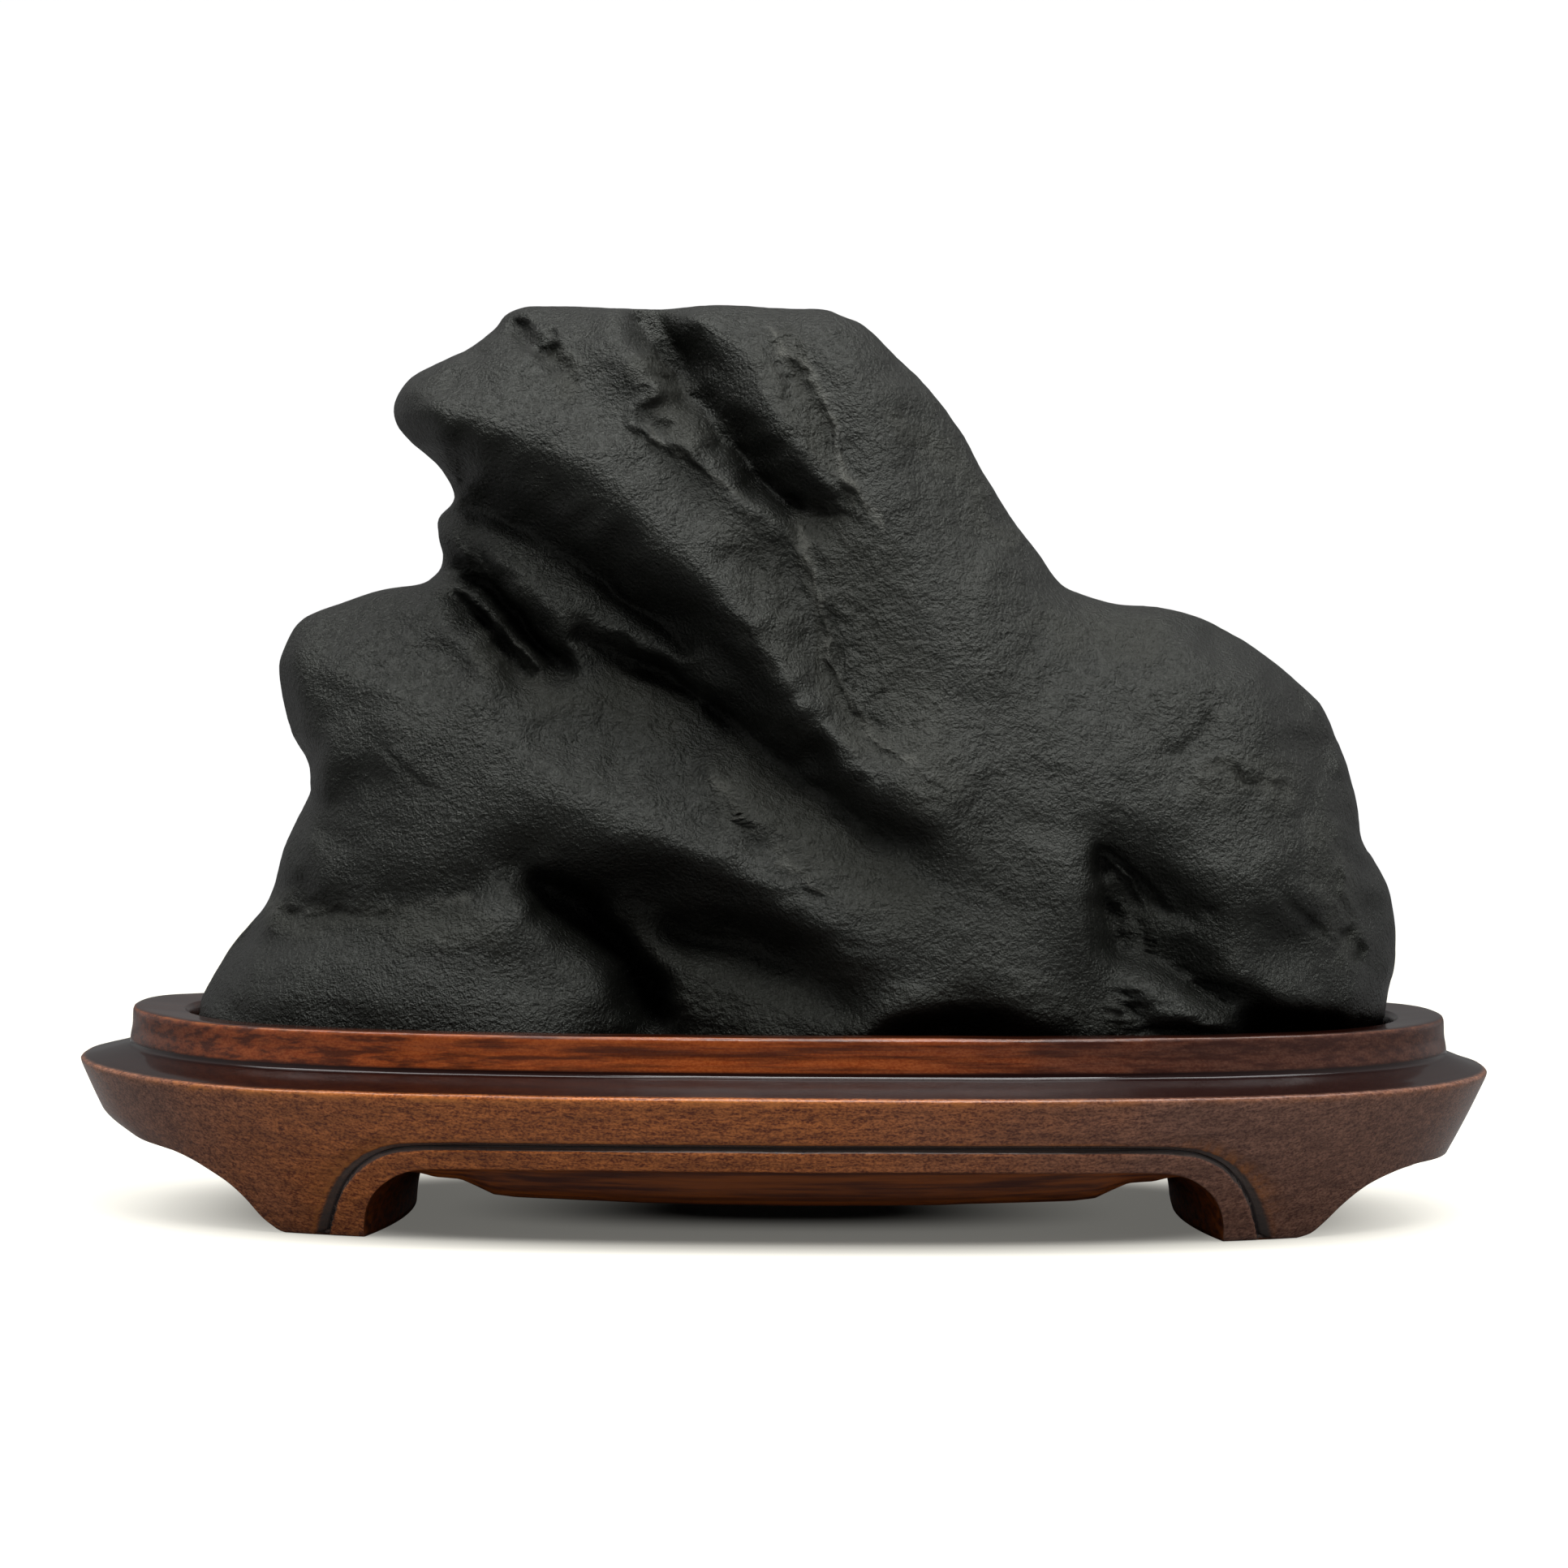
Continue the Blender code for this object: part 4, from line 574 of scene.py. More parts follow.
# Where the wood turns to the paler, greyer wood of the ends, its grey a painted reflection of the white
# surroundings, and where the collar begins, in metres
BRIGHTEST_WOOD_X = -0.022
END_SHEEN_FROM = 0.022
END_SHEEN_FULL = 0.085
WOOD_DRIFT = 0.05
SPECKLE_SHARE = 0.55
COLLAR_WOOD_FROM = 0.0222
COLLAR_WOOD_FULL = 0.0235

# Gloss: roughness of the lacquer, of the stained wood, and what bare wood adds; height of the grain
LACQUER = (0.22, 0.32)
STAINED_GLOSS = 0.1
BARE_DULLNESS = 0.2
GRAIN_BUMP = 0.0001
GRAIN_BUMP_STRENGTH = 0.3
STAINED_GRAIN = 0.12

# ---------------------------------------------------------------- studio sizes, in metres

# Camera: the width of the frame and the focal length and horizon on it, in pixels
FRAME_WIDTH = 1932
FOCAL_PIXELS = 5598
HORIZON = 756
SENSOR_WIDTH = 36
CAMERA_X = -0.00023
CAMERA_DISTANCE = 0.65
CAMERA_HEIGHT = 0.0855
CAMERA_ROLL = math.radians(0.37)

# Lights: size, watts and place; each is aimed at the object
LIGHTS = {
    "overhead": ((0.9, 0.25), 4.3, (0.0, -0.02, 0.6)),
    "front": ((0.5, 0.35), 7.5, (0.1, -0.6, 0.85)),
}
LIGHT_TARGET = (0, 0, 0.05)

# Brightness of the room from each side, and as it is seen
ROOM_OVERHEAD = 0.25
ROOM_FRONT = 0.04
ROOM_BACK = 0.15
ROOM_SIDES = 0.38
ROOM_BELOW = 0.3
ROOM_SEEN = 1.02

# Paper: its colour as seen and as it lights the object, and its glow, seen only by the camera, which grows
# from within the stand's plan outwards, as shares of the way to the ledge's edge, with a little of it
# further in: painted light beside the stand and painted shadow beneath it
FLOOR_RADIUS = 0.62
FLOOR_SIDES = 96
PAPER = (0.30, 0.29, 0.26)
PAPER_AS_LIGHT = (0.2, 0.2, 0.2)
PAPER_TONE = (1.0, 0.98, 0.90)
PAPER_GLOW = 0.9
GLOW_BESIDE = (0.64, 1.0)
GLOW_UNDER = (0.15, 0.5)
GLOW_UNDER_SHARE = 0.14
GLOW_HALF_LENGTH = LEDGE_HALF_LENGTH * MM
GLOW_HALF_DEPTH = 1.1 * LEDGE_HALF_DEPTH * MM


# ---------------------------------------------------------------- helpers

def smooth_curve(points, step, closed=False):
    """Points about one step apart on a Catmull-Rom curve through the given points."""
    given = np.array(points, float)
    if closed:
        padded = np.concatenate([given[-1:], given, given[:2]])
    else:
        padded = np.concatenate([[2 * given[0] - given[1]], given, [2 * given[-1] - given[-2]]])
    pieces = []
    for before, start, end, after in zip(padded, padded[1:], padded[2:], padded[3:]):
        count = max(1, round(math.dist(start[:2], end[:2]) / step))
        t = (np.arange(count) / count)[:, None]
        bend = (2 * before - 5 * start + 4 * end - after) * t ** 2
        twist = (3 * start - before - 3 * end + after) * t ** 3
        pieces.append(start + 0.5 * ((end - before) * t + bend + twist))
    if not closed:
        pieces.append(given[-1:])
    return np.concatenate(pieces)


def lengths_along(points):
    """Distance along a line of points to each of them."""
    steps = np.hypot(*np.diff(points[:, :2], axis=0).T)
    return np.concatenate([[0.0], np.cumsum(steps)])


def evenly(points, count):
    """The given number of points, evenly spaced along a line of points."""
    along = lengths_along(points)
    wanted = np.linspace(0, along[-1], count)
    return np.column_stack([np.interp(wanted, along, column) for column in points.T])


def distance_to_line(x, z, line):
    """Distance from each point to a line, the distance along it, and the side: positive on its left."""
    best = np.full(len(x), np.inf)
    along = np.zeros(len(x))
    side = np.ones(len(x))
    run = lengths_along(line)
    for start, end, reached in zip(line, line[1:], run):
        step = end - start
        length = math.hypot(*step)
        share = np.clip(((x - start[0]) * step[0] + (z - start[1]) * step[1]) / length ** 2, 0, 1)
        away_x = x - start[0] - share * step[0]
        away_z = z - start[1] - share * step[1]
        away = np.hypot(away_x, away_z)
        nearer = away < best
        best = np.where(nearer, away, best)
        along = np.where(nearer, reached + share * length, along)
        side = np.where(nearer, np.sign(step[0] * away_z - step[1] * away_x), side)
    return best, along, side


def piece_from(name, points_mm, faces, attributes):
    """A smooth-shaded mesh piece, welded, its faces turned outwards, with its painted values."""
    mesh = bpy.data.meshes.new(name)
    mesh.from_pydata(np.asarray(points_mm, float) * MM, [], faces)
    for label, values in attributes.items():
        layer = mesh.attributes.new(label, "FLOAT", "POINT")
        layer.data.foreach_set("value", np.asarray(values, np.float32))
    editable = bmesh.new()
    editable.from_mesh(mesh)
    bmesh.ops.remove_doubles(editable, verts=editable.verts, dist=WELD)
    bmesh.ops.recalc_face_normals(editable, faces=editable.faces)
    editable.to_mesh(mesh)
    editable.free()
    mesh.shade_smooth()
    obj = bpy.data.objects.new(name, mesh)
    bpy.context.scene.collection.objects.link(obj)
    return obj


def add(tree, kind, inputs=None, **settings):
    """Adds a node to a tree, sets it up, and links or sets its inputs by name or number."""
    node = tree.nodes.new(kind)
    for name, value in settings.items():
        setattr(node, name, value)
    for key, value in (inputs or {}).items():
        socket = node.inputs[key]
        if isinstance(value, bpy.types.NodeSocket):
            tree.links.new(value, socket)
        else:
            socket.default_value = value
    return node


def calc(tree, operation, *values):
    """The result of a Math node on sockets or numbers."""
    return add(tree, "ShaderNodeMath", dict(enumerate(values)), operation=operation).outputs[0]


def fade(tree, value, start, end, low=0.0, high=1.0, smooth=True):
    """A value carried from one range to another, held at its ends."""
    node = add(tree, "ShaderNodeMapRange", {
        "Value": value, "From Min": start, "From Max": end, "To Min": low, "To Max": high,
    }, interpolation_type="SMOOTHSTEP" if smooth else "LINEAR")
    return node.outputs["Result"]


def add_up(tree, first, second):
    """The sum of two sockets or numbers."""
    return calc(tree, "ADD", first, second)


def times(tree, first, second):
    """The product of two sockets or numbers."""
    return calc(tree, "MULTIPLY", first, second)


def blend_numbers(tree, share, low, high):
    """A number between two others, by a share from 0 to 1."""
    return add(tree, "ShaderNodeMix", {0: share, 2: low, 3: high}, data_type="FLOAT").outputs[0]


def blend_colours(tree, share, first, second):
    """A colour between two others, by a share from 0 to 1."""
    node = add(tree, "ShaderNodeMix", data_type="RGBA")
    for key, value in ((0, share), (6, first), (7, second)):
        if isinstance(value, bpy.types.NodeSocket):
            tree.links.new(value, node.inputs[key])
        else:
            node.inputs[key].default_value = value if key == 0 else (*value, 1.0)
    return node.outputs[2]


def new_material(name):
    """A new material, its tree and its main shader."""
    material = bpy.data.materials.new(name)
    material.use_nodes = True
    return material, material.node_tree, material.node_tree.nodes["Principled BSDF"]


def shaping_tree(name, sizes):
    """An empty geometry tree with one named input for each size, and its input sockets."""
    tree = bpy.data.node_groups.new(name, "GeometryNodeTree")
    tree.interface.new_socket("Geometry", in_out="INPUT", socket_type="NodeSocketGeometry")
    for label, value in sizes.items():
        kind = "NodeSocketInt" if isinstance(value, int) else "NodeSocketFloat"
        tree.interface.new_socket(label, in_out="INPUT", socket_type=kind).default_value = value
    tree.interface.new_socket("Geometry", in_out="OUTPUT", socket_type="NodeSocketGeometry")
    return tree, tree.nodes.new("NodeGroupInput").outputs


def finish_tree(tree, geometry, material):
    """Ends a geometry tree with its mesh made real and clad in its material."""
    real = add(tree, "GeometryNodeRealizeInstances", {"Geometry": geometry})
    clad = add(tree, "GeometryNodeSetMaterial", {"Geometry": real.outputs[0], "Material": material})
    add(tree, "NodeGroupOutput", {"Geometry": clad.outputs[0]})


def shape_with(obj, tree, sizes):
    """Runs a geometry tree on a piece with the given sizes, and keeps the result as its plain mesh."""
    modifier = obj.modifiers.new(tree.name, "NODES")
    modifier.node_group = tree
    for item in tree.interface.items_tree:
        if item.in_out == "INPUT" and item.name in sizes:
            modifier[item.identifier] = sizes[item.name]
    graph = bpy.context.evaluated_depsgraph_get()
    shaped = bpy.data.meshes.new_from_object(obj.evaluated_get(graph))
    obj.modifiers.remove(modifier)
    obj.data = shaped
    obj.data.name = obj.name
    shaped.shade_smooth()


def painted(tree, label):
    """A value painted on the mesh, as a field."""
    node = add(tree, "GeometryNodeInputNamedAttribute", {"Name": label}, data_type="FLOAT")
    return node.outputs[0]


def push_out(tree, geometry, distance):
    """Moves every point along its normal."""
    normal = tree.nodes.new("GeometryNodeInputNormal").outputs[0]
    offset = add(tree, "ShaderNodeVectorMath", {0: normal, "Scale": distance}, operation="SCALE")
    return add(tree, "GeometryNodeSetPosition", {
        "Geometry": geometry, "Offset": offset.outputs[0]}).outputs[0]


# ---------------------------------------------------------------- stone

def middle_surface(x, z):
    """The Y of the surface on which front and back meet, so that the stone's edge winds a little."""
    lift = np.clip((z - WINDING_STARTS) / WINDING_RISE, 0, 1)
    across = WAVE_ACROSS_SIZE * np.sin(WAVE_ACROSS * x + WAVE_ACROSS_START)
    return lift * (np.sin(WAVE_UP * z) - across)


def stone_outline():
    """Points round the whole outline, closer together where it shows than along the hidden foot."""
    sides = smooth_curve(OUTLINE_RIGHT + OUTLINE_SIDES, OUTLINE_CURVE)
    sides[:, 1] = np.maximum(sides[:, 1], STONE_FOOT)
    sides = evenly(sides, SPOKES - FOOT_SPOKES)
    left, right = sides[-1], sides[0]
    foot_x = np.linspace(left[0], right[0], FOOT_SPOKES + 2)[1:-1]
    foot = np.column_stack([foot_x, np.full(FOOT_SPOKES, STONE_FOOT)])
    return np.concatenate([sides, foot])


def relief(lines, facing):
    """A function of X and Z that passes through the lines, and through zero on the outline.

    It adds one cone for each point of the lines, and the radius of a line rounds its cones' tips, so the
    surface creases along a line of small radius and rolls over one of large radius. The cones add up to the
    square of the thickness, which turns the outline into a round edge.
    """
    rim = smooth_curve(OUTLINE_RIGHT + OUTLINE_SIDES, OUTLINE_STEP)
    rim = rim[rim[:, 1] > FOOT_TOP - RIM_BELOW_FOOT_TOP]
    places, targets, radii = [rim], [np.zeros(len(rim))], [np.full(len(rim), RIM_RADIUS)]
    for radius, line in lines.values():
        points = smooth_curve(line, max(FINEST_LINE_STEP, radius))
        places.append(points[:, :2])
        thickness = points[:, 2] + facing * middle_surface(points[:, 0], points[:, 1])
        targets.append(np.maximum(thickness, LEAST_THICKNESS) ** 2)
        radii.append(np.full(len(points), float(radius)))
    places, targets, radii = (np.concatenate(part) for part in (places, targets, radii))

    def cones(x, z):
        away = (x[:, None] - places[:, 0]) ** 2 + (z[:, None] - places[:, 1]) ** 2
        plane = np.column_stack([np.ones(len(x)), x, z])
        return np.column_stack([np.sqrt(away + radii ** 2), plane])

    balance = np.column_stack([np.ones(len(places)), places])
    system = np.vstack([
        cones(places[:, 0], places[:, 1]),
        np.column_stack([balance.T, np.zeros((3, 3))]),
    ])
    weights = np.linalg.solve(system, np.concatenate([targets, np.zeros(3)]))

    def thickness_at(x, z):
        squares = np.concatenate([
            cones(a, b) @ weights
            for a, b in zip(np.array_split(x, RELIEF_BATCHES), np.array_split(z, RELIEF_BATCHES))
        ])
        foot = 1 - np.abs((x - SEAT_SHIFT) / FOOT_HALF_LENGTH) ** PLAN_POWER
        seat = FOOT_HALF_DEPTH * np.maximum(0, foot) ** (1 / PLAN_POWER)
        limit = seat + FOOT_FLARE * np.maximum(0, z - FOOT_TOP)
        return np.minimum(np.sqrt(np.maximum(squares, 0)), limit)

    return thickness_at


def wander(x, z, sizes):
    """How far each point strays sideways, from layers of noise, each with its size and its reach."""
    noise.seed_set(STRAY_SEED)
    moves = np.zeros((len(x), 2))
    for size, reach in sizes:
        layer = [noise.noise_vector((a / size, reach, b / size)) for a, b in zip(x, z)]
        moves += 2 * reach * np.array(layer)[:, (0, 2)]
    return moves.T


def paint_strokes(x, z):
    """Height of the seams and lips over the relief, with ragged sides."""
    height = np.zeros(len(x))
    stray_x, stray_z = wander(x, z, STROKE_STRAY)
    strength, thickening = wander(x, z, STROKE_UNEVENNESS)
    x, z = x + stray_x, z + stray_z
    for width, rise, line in STROKES.values():
        route = smooth_curve(line, STROKE_CURVE)
        away, along, side = distance_to_line(x, z, route)
        broad = isinstance(width, tuple)
        if broad:
            width = np.where(side > 0, *width)
        length = lengths_along(route)[-1]
        from_end = np.minimum(along, length - along) / (STROKE_TAPER * length)
        taper = np.sqrt(np.clip(from_end, STROKE_END, 1))
        reach = width * np.clip(1 + thickening, *STROKE_WIDTHS)
        ragged = np.clip(1 + strength * (BROAD_UNEVENNESS if broad else 1.0), *STROKE_HEIGHTS)
        height += rise * taper * ragged * np.exp(-(away / reach) ** 2)
    return height


def paint_pale_highlights(x, z):
    """How pale the stone's worn, ragged edges are, with the painted highlight of light catching them."""
    pale = np.zeros(len(x))
    stray_x, stray_z = wander(x, z, STROKE_STRAY)
    _, unevenness = wander(x, z, HIGHLIGHT_UNEVENNESS)
    for reach, amount, line in PALE_HIGHLIGHT_LINES.values():
        away, _, _ = distance_to_line(x + stray_x, z + stray_z, smooth_curve(line, STROKE_CURVE))
        wide = reach * np.clip(1 + unevenness, *HIGHLIGHT_WIDTHS)
        pale = np.maximum(pale, amount * np.exp(-(away / wide) ** 2))
    return pale


def paint_rough(x, z):
    """How rough the skin is, from 0 to 1."""
    rough = np.zeros(len(x))
    stray_x, stray_z = wander(x, z, PATCH_STRAY)
    for reach, amount, line in ROUGH.values():
        away, _, _ = distance_to_line(x + stray_x, z + stray_z, smooth_curve(line, PATCH_CURVE))
        rough = np.maximum(rough, amount * np.exp(-(away / reach) ** 2))
    return rough


def polar_sheet(outline, rings, thickness_of, facing):
    """One face of the stone: rings from its centre to its outline, with fewer spokes near the centre.

    Returns the points, the number of them on each ring, and how rough and how pale each point is.
    """
    centre = np.array(STONE_CENTRE)
    shares = np.arange(1, rings + 1) / rings
    shares = shares * (1 + RIM_CROWDING * (1 - shares))
    points = [centre[None, :]]
    counts = [1]
    inland = [np.array([EDGE_REACH])]
    for share in shares:
        thinning = 4 if share < THINNED_TO_QUARTER else 2 if share < THINNED_TO_HALF else 1
        spokes = outline[::thinning] - centre
        points.append(centre + share * spokes)
        inland.append((1 - share) * np.hypot(*spokes.T))
        counts.append(SPOKES // thinning)
    flat = np.concatenate(points)
    x, z = flat.T
    middle = middle_surface(x, z)
    straying = np.clip(thickness_of(x, z) / STRAY_FULL_DEPTH, 0, 1)
    stray_x, stray_z = wander(x, z, RELIEF_STRAY) * straying
    least = np.sqrt(EDGE_ROUNDING * np.minimum(np.concatenate(inland), EDGE_REACH))
    thickness = np.maximum(thickness_of(x + stray_x, z + stray_z), least)
    rim = len(flat) - SPOKES
    on_foot = np.isclose(z[rim:], STONE_FOOT)
    thickness[rim:][~on_foot] = 0.0
    if facing > 0:
        share = np.clip(thickness / STROKE_FULL_DEPTH, 0, 1)
        thickness = thickness + share * paint_strokes(x, z)
        painted_on = np.column_stack([paint_rough(x, z), paint_pale_highlights(x, z)])
    else:
        painted_on = np.full((len(x), 2), (BACK_ROUGHNESS, 0.0))
    return np.column_stack([x, middle - facing * thickness, z]), counts, painted_on


def sheet_faces(counts, first):
    """Faces between the rings of one sheet, whose points start at a number."""
    faces = []
    low = first
    for count, above in zip(counts, counts[1:]):
        high = low + count
        if count == 1:
            faces += [(low, high + i, high + (i + 1) % above) for i in range(above)]
        elif count == above:
            for i in range(count):
                after = (i + 1) % count
                faces.append((low + i, high + i, high + after, low + after))
        else:
            for i in range(count):
                after = (i + 1) % count
                a, b, c = high + 2 * i, high + 2 * i + 1, high + (2 * i + 2) % above
                faces += [(low + i, a, b), (low + i, b, low + after), (low + after, b, c)]
        low = high
    return faces


def skin_tree(material):
    """The stone's skin: slow swells, grain, and wrinkles where it is broken, all from noise."""
    tree, size = shaping_tree("stone_skin", SKIN)
    position = tree.nodes.new("GeometryNodeInputPosition").outputs[0]
    rough = painted(tree, "rough")

    def noise_of(scale, detail, roughness=0.55):
        node = add(tree, "ShaderNodeTexNoise", {
            "Vector": position, "Scale": scale, "Detail": detail, "Roughness": roughness,
            "W": size["Seed"]}, noise_dimensions="4D")
        return calc(tree, "SUBTRACT", node.outputs["Fac"], 0.5)

    swell = times(tree, noise_of(SWELL_SCALE, 3.0), size["Swell"])
    share = fade(tree, rough, 0.0, 1.0, 0.6, 1.6, smooth=False)
    grain = times(tree, noise_of(GRAIN_SCALE, 3.0, 0.6), times(tree, share, size["Grain"]))
    folds = calc(tree, "ABSOLUTE", noise_of(WRINKLE_SCALE, 3.0, 0.6))
    wrinkle = calc(tree, "SUBTRACT", folds, WRINKLE_LEVEL)
    broken = times(tree, wrinkle, times(tree, rough, size["Broken Skin"]))
    height = add_up(tree, add_up(tree, swell, grain), broken)
    finish_tree(tree, push_out(tree, size["Geometry"], height), material)
    return tree


def make_stone():
    """The stone: a front and a back sheet joined along the outline, with the wall of its foot."""
    outline = stone_outline()
    points, faces, paint = [], [], []
    first = 0
    for facing, lines, rings in ((1, FRONT, FRONT_RINGS), (-1, BACK, BACK_RINGS)):
        sheet, counts, painted_on = polar_sheet(outline, rings, relief(lines, facing), facing)
        points.append(sheet)
        paint.append(painted_on)
        faces += sheet_faces(counts, first)
        first += len(sheet)
    front_rim = len(points[0]) - SPOKES
    back_rim = first - SPOKES
    for i in range(SPOKES - FOOT_SPOKES - 1, SPOKES):
        after = (i + 1) % SPOKES
        faces.append((front_rim + i, front_rim + after, back_rim + after, back_rim + i))
    rough, pale = np.concatenate(paint).T
    stone = piece_from("stone", np.concatenate(points), faces, {"rough": rough, "pale": pale})
    material = black_stone()
    shape_with(stone, skin_tree(material), SKIN)
    return stone


def black_stone():
    """Near-black stone: satin, with a fine leathery skin that is coarser where it is broken."""
    material, tree, shader = new_material("satin_black_stone")
    place = tree.nodes.new("ShaderNodeTexCoord").outputs["Object"]
    rough = add(tree, "ShaderNodeAttribute", attribute_name="rough").outputs["Fac"]

    def noise_of(scale, detail, roughness):
        return add(tree, "ShaderNodeTexNoise", {
            "Vector": place, "Scale": scale, "Detail": detail, "Roughness": roughness}).outputs["Fac"]

    fine, leather, coarse, blotch = (
        noise_of(*STONE_NOISE[layer]) for layer in ("fine", "leather", "coarse", "blotch"))
    leather = calc(tree, "ABSOLUTE", calc(tree, "SUBTRACT", leather, 0.5))
    height = add_up(tree, times(tree, fine, FINE_SHARE), times(tree, leather, LEATHER_SHARE))
    height = add_up(tree, height, times(tree, coarse, fade(tree, rough, 0.0, 0.8, *COARSE_SHARES)))
    bump = add(tree, "ShaderNodeBump", {"Height": height, "Strength": 1.0, "Distance": SKIN_BUMP})
    tone = blend_colours(tree, fade(tree, blotch, 0.35, 0.65), *DARK_STONE)
    tone = blend_colours(tree, fade(tree, rough, 0.1, 1.0), tone, ROUGH_STONE)
    # Pale edges: partly wear, partly a painted highlight of light catching the step
    pale = add(tree, "ShaderNodeAttribute", attribute_name="pale").outputs["Fac"]
    pale = times(tree, pale, fade(tree, fine, 0.35, 0.6, 0.3, 1.0))
    tone = blend_colours(tree, pale, tone, PALE_HIGHLIGHT_STONE)
    tree.links.new(tone, shader.inputs["Base Color"])
    tree.links.new(bump.outputs["Normal"], shader.inputs["Normal"])
    satin = add_up(tree, fade(tree, fine, 0.3, 0.7, *STONE_SATIN), times(tree, rough, ROUGH_SKIN_SATIN))
    tree.links.new(satin, shader.inputs["Roughness"])
    shader.inputs["Specular IOR Level"].default_value = 0.35
    shader.inputs["Specular Tint"].default_value = STONE_TINT
    return material


# ---------------------------------------------------------------- stand

def plan_turn(share):
    """Turn angle on the front half of the plan at a share of its length from the left end to the right."""
    return np.interp(share, PLAN_SHARES, PLAN_TURNS)


def plan_share(turn):
    """The share of the plan's front half at a turn angle."""
    return np.interp(turn, PLAN_TURNS, PLAN_SHARES)


def oval(turn, half_length, half_depth):
    """X and Y on an oval at a turn angle."""
    power = 2 / PLAN_POWER
    x = half_length * np.sign(np.cos(turn)) * np.abs(np.cos(turn)) ** power
    y = half_depth * np.sign(np.sin(turn)) * np.abs(np.sin(turn)) ** power
    return x, y


PLAN_TURNS = np.linspace(math.pi, 2 * math.pi, PLAN_STEPS)
PLAN_LENGTHS = lengths_along(np.column_stack(oval(PLAN_TURNS, LEDGE_HALF_LENGTH, LEDGE_HALF_DEPTH)))
PLAN_SHARES = PLAN_LENGTHS / PLAN_LENGTHS[-1]
WALL_CURVE = smooth_curve(WALL_PROFILE, PROFILE_CURVE)


def wall_inset(height):
    """How far the outer wall stands inside the ledge's edge at a height below the ledge."""
    return np.interp(height, WALL_CURVE[:, 1], WALL_CURVE[:, 0])


def wall_depth(x, height):
    """Distance of the outer wall from Y = 0 at an X and a height."""
    inset = wall_inset(height)
    reach = np.clip(np.abs(x) / (LEDGE_HALF_LENGTH - inset), 0, 1)
    return (LEDGE_HALF_DEPTH - inset) * (1 - reach ** PLAN_POWER) ** (1 / PLAN_POWER)


def leg_spread(y):
    """How the arch narrows from front to middle, as a factor on its width."""
    return 1 - LEG_SPREAD * np.maximum(0, 1 - (y / LEG_FRONT) ** 2)


def half_edge(end_curve, end_height):
    """Half of the wall's lower edge, from the stand's end to the middle of the arch.

    Returns rows of X, Z, and X as drawn for the arch, or no number outside the arch.
    """
    half_length = LEDGE_HALF_LENGTH - wall_inset(end_height)
    corner = np.arccos((END_STARTS / half_length) ** (PLAN_POWER / 2))
    turns = corner * np.linspace(0, 1, END_POINTS, endpoint=False)
    end = half_length * np.cos(turns) ** (2 / PLAN_POWER)
    cove = evenly(smooth_curve(end_curve[::-1], FINE_CURVE), COVE_POINTS)
    sole = np.linspace(end_curve[0][0], ARCH[0][0], SOLE_POINTS)[1:-1]
    arch = evenly(smooth_curve(ARCH, FINE_CURVE), ARCH_POINTS)
    rows = [(x, end_height, np.nan) for x in end]
    rows += [(x, z, np.nan) for x, z in cove]
    rows += [(x, 0.0, np.nan) for x in sole]
    rows += [(x, z, x) for x, z in arch]
    return np.array(rows)


def lower_edge():
    """The front lower edge of the wall, from the left end to the right.

    Returns X, Z, the distance out from Y = 0, and X as drawn for the arch, or no number outside it.
    """
    left = half_edge(LEFT_END_CURVE, END_HEIGHTS[0]) * (-1, 1, -1)
    right = half_edge(RIGHT_END_CURVE, END_HEIGHTS[1])[:-1][::-1]
    edge = np.concatenate([left, right])
    z, drawn = edge[:, 1], edge[:, 2]
    shifted = np.clip((END_STARTS + 1 - np.abs(edge[:, 0])) / LEG_SHIFT_LENGTH, 0, 1)
    x = edge[:, 0] + LEG_SHIFT * shifted
    return x, z, wall_depth(x, z), drawn


def belly_drop(x, y):
    """How far the underside hangs below the apron's edge, inside the apron."""
    inner = wall_depth(x, APRON_HEIGHT) - BELLY_SETBACK
    distances, shares = np.transpose(BELLY_ALONG)
    across = np.maximum(0, 1 - (np.abs(y) / inner) ** BELLY_POWER)
    return BELLY_DROP * np.interp(np.abs(x), distances, shares) * across


def wear(inset, height, edge):
    """How worn a point of a profile is, by its distance from a rubbed edge."""
    most, edge_inset, edge_height, reach = edge
    return most * math.exp(-((inset - edge_inset) ** 2 + (height - edge_height) ** 2) / reach ** 2)


def spread_over_top(edge_x, edge_y, edge_z, edge_share):
    """Shares of the plan at which the rows above the wall have their points.

    They are as far apart as on the lower edge, and a little more evenly spread, so that the columns of
    points on the wall stay apart where the edge is steep.
    """
    along = lengths_along(np.column_stack([edge_x, edge_z]))
    across = lengths_along(np.column_stack([edge_x, edge_y]))
    travelled = np.maximum.accumulate(along + across)
    share = (1 - TOP_SPREADING) * edge_share + TOP_SPREADING * travelled / travelled[-1]
    return (share - share[0]) / (share[-1] - share[0])


